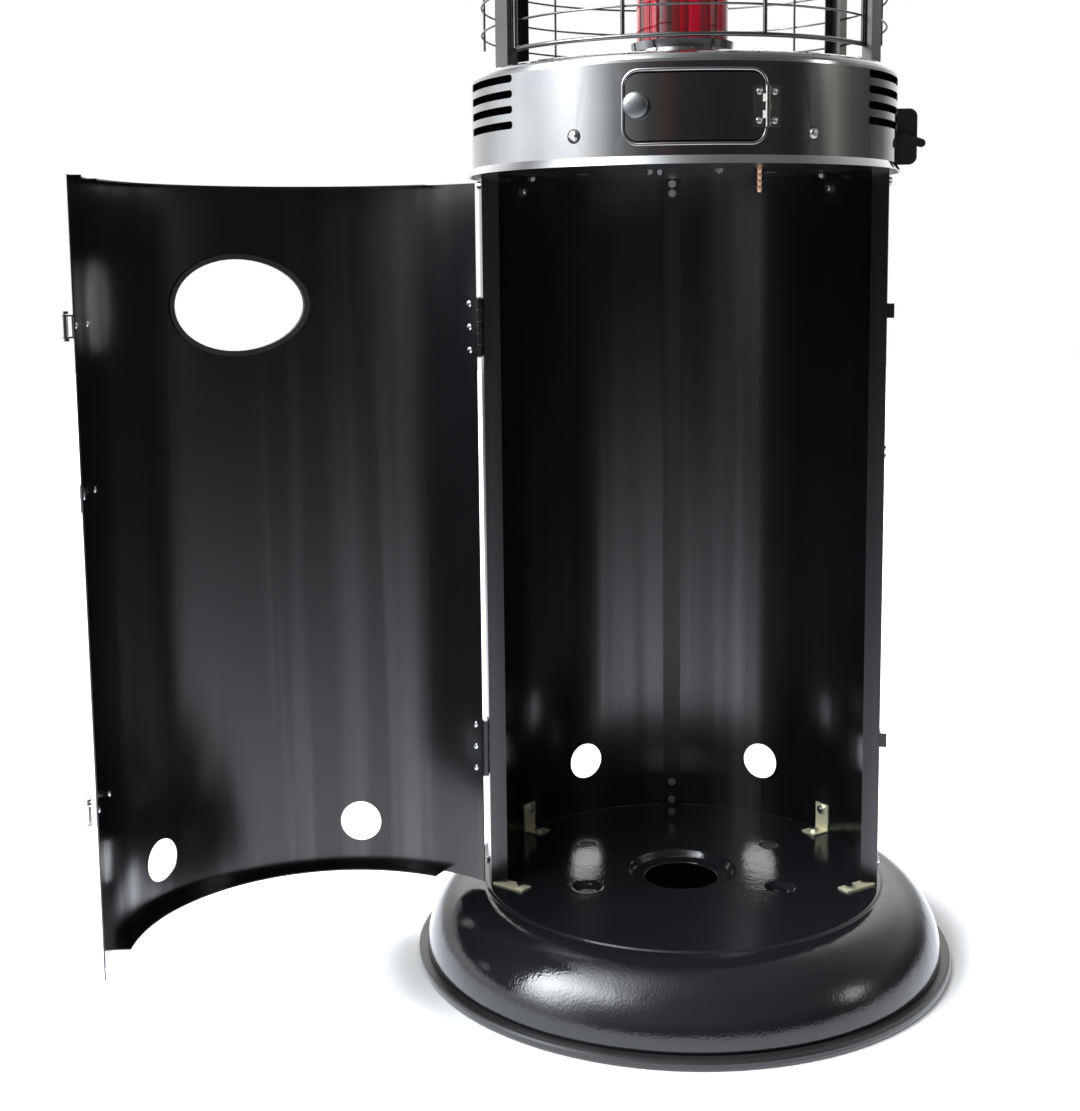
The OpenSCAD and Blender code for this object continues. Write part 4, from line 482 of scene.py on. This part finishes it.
def add_rolled(node, name, material, slot, axis=(0.0, 0.0)):
    """The node's own shape, in which rolled and spun faces get their true round normals."""
    mesh = frame["nodes"][node].data.copy()
    mesh.name = name
    points = read(mesh.vertices, "co", 3)
    corners = read(mesh.loops, "vertex_index", 1, np.int64)
    flat = read(mesh.polygons, "normal", 3)
    normals = read(mesh.corner_normals, "vector", 3).reshape(-1, 3, 3)
    tiny, edge_on, sideways_limit, bend_limit = 1e-9, 0.05, 0.06, 3e-5
    reach = points[:, :2] - np.array(axis)
    radius = np.maximum(np.hypot(reach[:, 0], reach[:, 1]), tiny)
    out = reach / radius[:, None]
    middle = out[corners].mean(1)
    middle /= np.maximum(np.linalg.norm(middle, axis=1), tiny)[:, None]
    outward = (flat[:, :2] * middle).sum(1)
    sideways = flat[:, 1] * middle[:, 0] - flat[:, 0] * middle[:, 1]
    safe = np.where(np.abs(outward) < edge_on, 1.0, outward)
    slant = radius[corners] + (flat[:, 2] / safe)[:, None] * points[corners][:, :, 2]
    on_cone = np.ptp(slant, axis=1) < bend_limit
    turned = (np.abs(outward) > edge_on) & (np.abs(sideways) < sideways_limit) & on_cone
    normals[turned, :, :2] = outward[turned][:, None, None] * out[corners[turned]]
    normals[turned, :, 2] = flat[turned, 2][:, None]
    lengths = np.linalg.norm(normals, axis=2, keepdims=True)
    mesh.normals_split_custom_set((normals / lengths).reshape(-1, 3).tolist())
    add_piece(name, mesh, material, slot, node)


edge_rubber = moulded("edge_rubber", (0.018, 0.018, 0.019), 0.36, pebble=0.15)
add_rolled("base_edge_trim", "edge_hoop", edge_rubber, "black_rubber")


# Cabinet shell. Two rolled skins of 1.2 mm steel meet at a flat strip at the back. Each turns
# in at its front edge to a flange that stiffens the opening. Enamelled inside and out.
shell_enamel = enamel(
    "shell_enamel", (0.0035, 0.0038, 0.0045), peel=0.5, rough=0.2, haze=0.06, rolling=8.0)
strip_enamel = enamel("strip_enamel", (0.004, 0.0036, 0.0034), peel=0.5, rough=0.34)
add_rolled("shell_left", "left_skin", shell_enamel, "black_enamel")
add_rolled("shell_right", "right_skin", shell_enamel, "black_enamel")
add_rolled("rear_seam_strip", "seam_strip", strip_enamel, "black_enamel")


# Brackets and bolts. Four yellow zinc angles stand the shell on the pan's floor and dark steel
# angles hang the deck from its top. M5 bolts with flanged nuts, zinc plated, join them.
def dress(material, *nodes):
    """Gives carried CAD nodes their material."""
    for node in nodes:
        slots = frame["nodes"][node].data.materials
        slots.clear()
        slots.append(material)


def metal(name, colour, rough, streak=(1, 1, 1), streak_scale=300.0, spread=0.1, shade=0.15,
          stain=None, metallic=1.0):
    """Bare or plated metal: drawn lines, cloudy wear, and a second tint where the plating varies."""
    made, plan, shader, place = start_material(name)
    lines = grain(plan, place, scale=streak_scale, detail=4.0, roughness=0.6, stretch=streak)
    cloud = grain(plan, place, scale=22.0, detail=4.0)
    dark, light = shaded(colour, 1 - shade), shaded(colour, 1 + shade)
    tint = plan.blend_colours(lines, dark, light)
    tint = plan.blend_colours(cloud.span(0.38, 0.68), tint, stain or dark)
    lump = plan.node("ShaderNodeBump", {}, Strength=0.2, Distance=0.00002, Height=lines)
    worn = lines * spread + cloud * spread + (rough - spread)
    feed(plan, shader, Base_Color=tint, Metallic=metallic, Roughness=worn, Normal=lump)
    return made


yellow_zinc = metal(
    "yellow_zinc", (0.92, 0.84, 0.60), 0.42, shade=0.1, stain=(0.82, 0.80, 0.60), metallic=0.6)
bolt_zinc = metal("bolt_zinc", (0.70, 0.70, 0.69), 0.24, stain=(0.5, 0.5, 0.48))
bracket_steel = metal("bracket_steel", (0.14, 0.14, 0.135), 0.4, stain=(0.09, 0.09, 0.085))
dress(yellow_zinc, "floor_brackets")
dress(bracket_steel, "top_brackets")
dress(bolt_zinc, "cabinet_bolts")


# Hinges. Steel leaves riveted to the door and spot welded to the shell turn on plain pins.
# The leaves were enamelled with the shell, and the pins are worn bright.
hinge_enamel = enamel("hinge_enamel", (0.006, 0.006, 0.007), peel=0.4, rough=0.16)
pin_zinc = metal("pin_zinc", (0.55, 0.55, 0.54), 0.28)
dress(hinge_enamel, "shell_hinge_leaves", "door_hinge_leaves")
dress(pin_zinc, "hinge_pins")


# Door. One rolled skin with a turned lip along its top and bottom, an oval window and two
# vents. It hangs open on the left, so it shows its enamelled inside.
door_axis = (-0.33135, -0.20266)
door_enamel = enamel(
    "door_enamel", (0.0045, 0.0048, 0.0056), peel=0.5, rough=0.21, haze=0.06, rolling=8.0)
add_rolled("door_panel", "door_skin", door_enamel, "black_enamel", door_axis)

# Window trim. A black rubber channel is pressed round the edge of the oval window. It is
# moulded, with a dull skin.
window_rubber = moulded("window_rubber", (0.016, 0.016, 0.017), 0.42, pebble=0.2)
dress(window_rubber, "porthole_trim")


# Door rivets. Twelve aluminium pop rivets hold the hinge leaves, the latch bases and the
# doubling plate. Each shows a low polished dome on both sides of the door.
def islands(node):
    """The separate solids of a node: a list of their points, one array each."""
    shape = bmesh.new()
    shape.from_mesh(frame["nodes"][node].data)
    bmesh.ops.remove_doubles(shape, verts=shape.verts, dist=1e-6)
    left, groups = set(shape.verts), []
    for first in shape.verts:
        if first not in left:
            continue
        left.remove(first)
        wave, group = [first], []
        while wave:
            vert = wave.pop()
            group.append(tuple(vert.co))
            for edge in vert.link_edges:
                other = edge.other_vert(vert)
                if other in left:
                    left.remove(other)
                    wave.append(other)
        groups.append(np.array(group))
    shape.free()
    return groups


def turned_mesh(name, outline, segments):
    """A turned part about Z from (radius, height) points, from its top down to its foot."""
    shape = bmesh.new()
    turns = [k * 2 * math.pi / segments for k in range(segments)]
    rows = []
    for r, z in outline:
        if r == 0:
            rows.append([shape.verts.new((0, 0, z))] * segments)
        else:
            rows.append([shape.verts.new((r * math.cos(a), r * math.sin(a), z)) for a in turns])
    for upper_row, lower_row in zip(rows, rows[1:]):
        for k in range(segments):
            after = (k + 1) % segments
            face = [upper_row[k], lower_row[k], lower_row[after], upper_row[after]]
            shape.faces.new(list(dict.fromkeys(face)))
    mesh = bpy.data.meshes.new(name)
    shape.to_mesh(mesh)
    shape.free()
    mesh.polygons.foreach_set("use_smooth", [True] * len(mesh.polygons))
    return mesh


def add_set(name, places, aims, part_mesh, material, slot, body, twist=0.0):
    """Copies of a small part on places, each turned to its aim and twisted by chance, as one piece."""
    base = bpy.data.meshes.new(name + "_places")
    base.from_pydata([tuple(p) for p in places], [], [])
    aim_rows = base.attributes.new("aim", "FLOAT_VECTOR", "POINT").data
    aim_rows.foreach_set("vector", np.array(aims, float).ravel())
    part = bpy.data.objects.new(name + "_part", part_mesh)
    tree = Pattern(name)
    wanted, spin = tree.size("Part", part, "Object"), tree.size("Twist", twist)
    seed, float_out = 7, 1
    info = tree.node("GeometryNodeObjectInfo", {}, wanted, out="Geometry")
    aimed = tree.node("GeometryNodeInputNamedAttribute", {"data_type": "FLOAT_VECTOR"}, "aim")
    faced = tree.node("FunctionNodeAlignRotationToVector", {"axis": "Z"}, Vector=aimed)
    chance = tree.node("FunctionNodeRandomValue", {"data_type": "FLOAT"}, out=float_out, Seed=seed)
    turned = tree.node("FunctionNodeAxisAngleToRotation", {}, (0, 0, 1), chance * spin)
    facing = tree.node("FunctionNodeRotateRotation", {"rotation_space": "LOCAL"}, faced, turned)
    copies = tree.node("GeometryNodeInstanceOnPoints", {}, tree.base, Instance=info, Rotation=facing)
    mesh = tree.grown(name, copies, material, base)
    bpy.data.objects.remove(part)
    add_piece(name, mesh, material, slot, body=body)


rivet_aluminium = metal("rivet_aluminium", (0.80, 0.80, 0.81), 0.18, spread=0.05, shade=0.08)
rivet_r, rivet_h, rivet_lift, rivet_sink = 0.0033, 0.00135, 0.00002, 0.0012
rivet_line = [
    (rivet_r * math.sin(a * math.pi / 12), rivet_h * math.cos(a * math.pi / 12) + rivet_lift)
    for a in range(7)]
rivet_dome = turned_mesh("rivet_dome", rivet_line + [(rivet_r, -0.0001)], segments=20)
rivet_places, rivet_aims = [], []
for rivet in islands("door_rivets"):
    middle = (rivet.max(0) + rivet.min(0)) / 2
    outward = np.append((middle[:2] - door_axis) / np.linalg.norm(middle[:2] - door_axis), 0)
    for way in (outward, -outward):
        reach = ((rivet - middle) @ way).max() * way
        rivet_places.append(middle + reach - way * rivet_sink)
        rivet_aims.append(way)
dress(rivet_aluminium, "door_rivets")
add_set(
    "rivet_domes", rivet_places, rivet_aims, rivet_dome, rivet_aluminium, "bright_zinc",
    "cabinet_door")


# Latches. Two chromed draw latches on the door's free edge: a pressed base with ears, a lever
# on a pin and a wire bail that hooks behind a black catch on the shell. The doubling plate
# between them is bare steel.
latch_chrome = metal("latch_chrome", (0.74, 0.74, 0.75), 0.1, spread=0.04, shade=0.05)
catch_enamel = enamel("catch_enamel", (0.008, 0.008, 0.009), peel=0.4, rough=0.2)
plate_steel = metal(
    "plate_steel", (0.5, 0.5, 0.49), 0.3, streak=(1, 1, 20), streak_scale=30.0)
dress(latch_chrome, "latch_bases", "upper_latch_lever", "lower_latch_lever")
dress(latch_chrome, "upper_latch_bail", "lower_latch_bail")
dress(catch_enamel, "door_catches")
dress(plate_steel, "door_plate")


# Burner deck. A pressed disc of galvanised steel with a turned-down rim that closes the top of
# the cabinet and carries the burner, the gas line and the ring.
deck_zinc = metal("deck_zinc", (0.46, 0.47, 0.47), 0.38, shade=0.2, stain=(0.38, 0.38, 0.38))
add_rolled("burner_deck", "deck", deck_zinc, "galvanised")


# Control ring. A band of stainless steel, finely drawn outside, with a rolled shoulder at the
# top, a turned lip below and four slots on each side. Wiping leaves it slightly cloudy.
ring_steel = metal(
    "ring_steel", (0.47, 0.47, 0.475), 0.08, streak=(1, 1, 0.15), streak_scale=26.0,
    spread=0.025, shade=0.05, stain=(0.43, 0.435, 0.45))
add_rolled("control_ring", "ring_band", ring_steel, "brushed_stainless")

# Bead. The ring is embossed with a low round bead that frames the opening of its access door.
# It has the finish of the ring, being one sheet with it.
ring_r, door_z, door_w, door_h, door_corner = 0.206, 0.8389, 0.122, 0.059, 0.012
bead_w, bead_h, bead_sink, bead_gap = 0.0026, 0.0004, 0.0002, 0.0019
bead_x, bead_z, bead_corner = (size + bead_gap for size in (door_w / 2, door_h / 2, door_corner))
corner_steps, run_step, profile = 12, 0.003, 9
path = []
for quarter, (side, up) in enumerate([(1, 1), (-1, 1), (-1, -1), (1, -1)]):
    for k in range(corner_steps + 1):
        a = math.radians(quarter * 90 + k * 90 / corner_steps)
        u = side * (bead_x - bead_corner) + bead_corner * math.cos(a)
        v = up * (bead_z - bead_corner) + bead_corner * math.sin(a)
        path.append((u, v, a))
full_path = []
for start, end in zip(path, path[1:] + [(*path[0][:2], 2 * math.pi)]):
    steps = max(1, int(math.hypot(end[0] - start[0], end[1] - start[1]) / run_step))
    for k in range(steps):
        full_path.append([p + (q - p) * k / steps for p, q in zip(start, end)])
bead_points, bead_faces = [], []
for row, (u, v, a) in enumerate(full_path):
    for k in range(profile):
        b = math.pi * k / (profile - 1)
        off, rise = -math.cos(b) * bead_w / 2, math.sin(b) * (bead_h + bead_sink) - bead_sink
        turn_at = (u + off * math.cos(a)) / ring_r
        bead_points.append((
            (ring_r + rise) * math.sin(turn_at),
            -(ring_r + rise) * math.cos(turn_at),
            door_z + v + off * math.sin(a)))
    for k in range(profile - 1):
        first, second = row * profile + k, (row + 1) % len(full_path) * profile + k
        bead_faces.append((first, second, second + 1, first + 1))
bead_mesh = bpy.data.meshes.new("door_bead")
bead_mesh.from_pydata(bead_points, [], bead_faces)
bead_mesh.polygons.foreach_set("use_smooth", [True] * len(bead_faces))
add_piece("door_bead", bead_mesh, ring_steel, "brushed_stainless", body="heater")


# Ring screws. Pan head machine screws with a cross recess hold the ring on the deck and sit in
# dark washers. Plain bolts hold the posts' feet.
def screw_head(name, head_r, head_h, cross_w, cross_l, cross_d):
    """A pan head on the XY plane with a cross recess, sized in metres and in shares of its radius."""
    head = Pattern(name)
    rim, rise = head.size("Head radius", head_r), head.size("Head height", head_h)
    wide, reach = head.size("Cross width", cross_w), head.size("Cross reach", cross_l)
    deep = head.size("Cross depth", cross_d)
    rim_share, edge_share, fall, flare = 0.88, 0.87, 0.75, 1.6
    disc, turn, along = head.unit_grid(48, 16)
    out = (along / rim_share).maths("MINIMUM", 1.0)
    right, back = out * turn.maths("SINE"), out * turn.maths("COSINE")
    side_x, side_y = right.maths("ABSOLUTE"), back.maths("ABSOLUTE")
    thin, far = side_x.maths("MINIMUM", side_y), side_x.maths("MAXIMUM", side_y)
    pit = thin.span(wide, wide * flare, 1.0, 0.0) * far.span(reach * 0.5, reach, 1.0, 0.0)
    round_top = (1 - out * out * fall).maths("SQRT")
    edge = along.span(edge_share, 1.0, 1.0, 0.0)
    height = (round_top * rise - pit * deep) * edge
    shape = head.moved(disc, right * rim, back * rim, height, weld=0.00001)
    return head.grown(name, shape, screw_steel)


screw_steel = metal("screw_steel", (0.62, 0.61, 0.6), 0.2, spread=0.06)
washer_rubber = moulded("washer_rubber", (0.012, 0.012, 0.012), 0.45)
screw_z, screw_turn, washer_top = 0.8168, 1.2, 0.0006
screw_ways = [
    (math.sin(math.radians(a)), -math.cos(math.radians(a)), 0)
    for a in (30.4, -30.4, 149.6, -149.6)]
cross_head = screw_head(
    "cross_head", head_r=0.0044, head_h=0.0030, cross_w=0.13, cross_l=0.62, cross_d=0.0013)
washer_line = [(0, 0.0007), (0.0058, 0.0008), (0.0064, 0.0004), (0.0064, -0.0004)]
washer = turned_mesh("washer_shape", washer_line, segments=32)
seat_places, head_places = (
    [(x * r, y * r, screw_z) for x, y, z in screw_ways] for r in (ring_r, ring_r + washer_top))
add_set("screw_seats", seat_places, screw_ways, washer, washer_rubber, "black_rubber", "heater")
add_set(
    "screw_heads", head_places, screw_ways, cross_head, screw_steel, "brushed_stainless",
    "heater", screw_turn)
dress(screw_steel, "ring_screws")


# Access door. The piece cut from the ring hangs on a small butt hinge with a pin and four
# screws, and a turned grey knob pulls it open.
door_steel = metal(
    "door_steel", (0.43, 0.43, 0.43), 0.09, streak=(1, 1, 0.15), streak_scale=26.0,
    spread=0.025, shade=0.05, stain=(0.40, 0.395, 0.39))
hinge_steel = metal("hinge_steel", (0.50, 0.49, 0.46), 0.2, spread=0.06)
knob_grey = metal("knob_grey", (0.23, 0.24, 0.25), 0.36, spread=0.08)
add_rolled("control_door", "access_door", door_steel, "brushed_stainless")
dress(hinge_steel, "control_door_leaf", "ring_hinge_leaf")
leaf_r, leaf_screw_z = 0.2073, 0.01225
small_head = screw_head(
    "small_head", head_r=0.0028, head_h=0.0012, cross_w=0.14, cross_l=0.6, cross_d=0.0006)
for body, name, degrees in (
        ("control_flap", "door_leaf_screws", 15.47), ("heater", "ring_leaf_screws", 19.37)):
    way = (math.sin(math.radians(degrees)), -math.cos(math.radians(degrees)), 0)
    spots = [(way[0] * leaf_r, way[1] * leaf_r, door_z + z) for z in (-leaf_screw_z, leaf_screw_z)]
    add_set(name, spots, [way, way], small_head, screw_steel, "bright_zinc", body, screw_turn)
knob_az, knob_z, knob_r, knob_out = math.radians(-13.9), 0.8401, 0.0115, 0.012
knob_shares = [
    (0.97 * math.sin(a * math.pi / 24), 0.72 + 0.28 * math.cos(a * math.pi / 24))
    for a in range(13)]
knob_shares += [(1, 0.6), (0.97, 0.42), (0.9, 0.38), (0.6, 0.36), (0.6, 1 / 30)]
knob_line = [(knob_r * r, knob_out * z) for r, z in knob_shares]
knob_way = Vector((math.sin(knob_az), -math.cos(knob_az), 0))
knob_place = Matrix.Translation(knob_way * ring_r + Vector((0, 0, knob_z)))
knob_mesh = turned_mesh("door_knob", knob_line, segments=64)
knob_mesh.transform(knob_place @ knob_way.to_track_quat("Z", "Y").to_matrix().to_4x4())
add_piece("door_knob", knob_mesh, knob_grey, "satin_grey", "control_door_knob")


# Side bracket and wing. A black plate on the ring's right holds a black plastic wing that turns
# on a screw.
wing_plate = enamel("wing_plate", (0.012, 0.012, 0.012), peel=0.5, rough=0.22)
wing_plastic = moulded("wing_plastic", (0.010, 0.010, 0.011), 0.32)
dress(wing_plate, "side_bracket")
dress(wing_plastic, "side_lever")


# Gas line. A ribbed copper barb takes the hose under the deck, and bent copper pipes run to the
# valve and to the burner. The brass valve has a steel spindle and a black knob.
barb_copper = metal("barb_copper", (0.80, 0.50, 0.33), 0.22, stain=(0.7, 0.45, 0.3))
pipe_copper = metal("pipe_copper", (0.62, 0.36, 0.24), 0.3, shade=0.25, stain=(0.4, 0.22, 0.15))
valve_brass = metal("valve_brass", (0.68, 0.52, 0.28), 0.3, stain=(0.5, 0.38, 0.2))
knob_plastic = moulded("knob_plastic", (0.014, 0.014, 0.015), 0.35)
barb_x, barb_top, rib_count, rib_h = 0.076, 0.798, 4, 0.006
sleeve_r, rib_r, groove_r, foot_in_r = 0.0026, 0.0044, 0.0031, 0.0025
rib_edge, rib_face = 0.0002, 0.0016
rib_line = [(sleeve_r, barb_top)]
for k in range(rib_count):
    top = barb_top - k * rib_h
    rib_line += [(rib_r, top - rib_edge), (rib_r, top - rib_face), (groove_r, top - rib_h + rib_edge)]
rib_line.append((foot_in_r, barb_top - rib_count * rib_h))
rib_mesh = turned_mesh("barb_ribs", rib_line, segments=48)
rib_mesh.set_sharp_from_angle(angle=math.radians(40))
rib_mesh.transform(Matrix.Translation((barb_x, 0, 0)))
add_piece("barb_ribs", rib_mesh, barb_copper, "brass_fitting", body="heater")
dress(barb_copper, "hose_barb")
dress(pipe_copper, "gas_inlet_pipe", "burner_pipe")
dress(valve_brass, "gas_valve")
dress(knob_plastic, "gas_knob")
dress(pin_zinc, "valve_spindle")


# Control panel. A folded dark steel panel behind the access door carries the valve and the
# spark igniter with its red button. A tilt switch and two leads complete the circuit.
panel_steel = metal("panel_steel", (0.12, 0.12, 0.118), 0.42)
button_red = moulded("button_red", (0.5, 0.018, 0.014), 0.3)
switch_plastic = moulded("switch_plastic", (0.016, 0.016, 0.017), 0.45)
lead_silicone = moulded("lead_silicone", (0.014, 0.013, 0.013), 0.5)
dress(panel_steel, "control_panel")
dress(button_red, "piezo_button")
dress(switch_plastic, "piezo_igniter", "tilt_switch")
dress(lead_silicone, "lead_wires")


# Burner. A drawn steel cup holds a perforated head, tinted brown and blue by the heat, with a
# pilot, a thermocouple and a spark electrode in a white ceramic sleeve beside it.
cup_steel = metal("cup_steel", (0.42, 0.41, 0.39), 0.4, shade=0.2, stain=(0.36, 0.31, 0.25))
head_steel = metal("head_steel", (0.33, 0.29, 0.26), 0.42, shade=0.3, stain=(0.16, 0.18, 0.26))
sleeve_ceramic = moulded("sleeve_ceramic", (0.82, 0.80, 0.75), 0.25, pebble=0.1)
probe_copper = metal("probe_copper", (0.66, 0.36, 0.24), 0.3)
add_rolled("burner_cup", "cup", cup_steel, "galvanised")
dress(head_steel, "burner_head")
dress(pin_zinc, "pilot_burner")
dress(sleeve_ceramic, "spark_electrode")
dress(probe_copper, "thermocouple")


# Ring top plate, socket and collar. A plain galvanised disc closes the ring. A chromed socket on
# it and a collar under the top plate grip the tube through red silicone rings. Their chrome is painted
# dark, a painted shade for the dark room that it reflects.
plate_zinc = metal("plate_zinc", (0.42, 0.42, 0.42), 0.36, stain=(0.35, 0.35, 0.35))
# Painted shade: the chrome's colour is darkened to stand for the dark room in its reflection.
shade_painted_chrome = metal("shade_painted_chrome", (0.30, 0.30, 0.31), 0.1, spread=0.04, shade=0.05)
gasket_silicone = moulded("gasket_silicone", (0.42, 0.045, 0.03), 0.45)
add_rolled("ring_top_plate", "closing_plate", plate_zinc, "galvanised")
add_rolled("tube_socket", "socket", shade_painted_chrome, "chrome_plate")
add_rolled("upper_collar", "collar", shade_painted_chrome, "chrome_plate")
dress(gasket_silicone, "tube_gaskets")


# Glass tube. Ruby-stained quartz glass, 89 mm across with a thin wall. Upright streaks in its colour,
# some clear and some nearly black, are painted reflections. Its surface is polished by fire.
ruby_glass, plan, shader, place = start_material("ruby_glass")
streak_stretch = (1, 1, 0.004)
painted_reflection_streaks = grain(plan, place, scale=170.0, detail=3.0, roughness=0.6, stretch=streak_stretch)
painted_reflection_bands = grain(plan, place, scale=60.0, detail=1.0, roughness=0.5, stretch=streak_stretch)
# Painted reflections: dark, bright red and clear upright stripes in colour and opacity stand in for the
# tube's reflections.
tint = plan.ramp(
    painted_reflection_bands * 0.55 + painted_reflection_streaks * 0.45,
    (0.36, (0.035, 0.008, 0.008)), (0.45, (0.16, 0.008, 0.012)), (0.5, (0.62, 0.004, 0.02)),
    (0.56, (0.42, 0.006, 0.03)), (0.62, (0.16, 0.03, 0.03)))
opacity = 0.9 - painted_reflection_streaks.span(0.56, 0.62) * 0.72
feed(plan, shader, Base_Color=tint, Roughness=0.04, Alpha=opacity, IOR=1.5)
feed(plan, shader, Coat_Weight=1.0, Coat_Roughness=0.02)
add_rolled("glass_tube", "tube", ruby_glass, "ruby_glass")


# Guards. Four bent steel posts stand on the ring. Between them stand guards of 2 mm wire welded
# across upright rods in a frame of thicker rod, nickel plated and patchily darkened by heat.
post_steel = metal(
    "post_steel", (0.20, 0.195, 0.185), 0.24, streak=(1, 1, 0.05), streak_scale=120.0,
    spread=0.06, shade=0.2)
wire_nickel = metal(
    "wire_nickel", (0.20, 0.20, 0.205), 0.22, spread=0.05, stain=(0.12, 0.115, 0.11))
dress(post_steel, "guard_posts")
dress(wire_nickel, "front_guard", "rear_guard", "left_guard", "right_guard")


# Top plate and hat. A pressed stainless plate closes the guards, and a spun reflector hat stands
# above it on three spacers over threaded rods, held by dome nuts.
hat_steel = metal(
    "hat_steel", (0.56, 0.555, 0.55), 0.2, streak=(1, 1, 30), streak_scale=25.0,
    spread=0.05, shade=0.06)
rod_zinc = metal("rod_zinc", (0.62, 0.62, 0.61), 0.25)
add_rolled("top_plate", "cover_plate", hat_steel, "brushed_stainless")
add_rolled("reflector_hat", "hat", hat_steel, "brushed_stainless")
dress(hat_steel, "hat_spacers")
dress(rod_zinc, "hat_nuts")
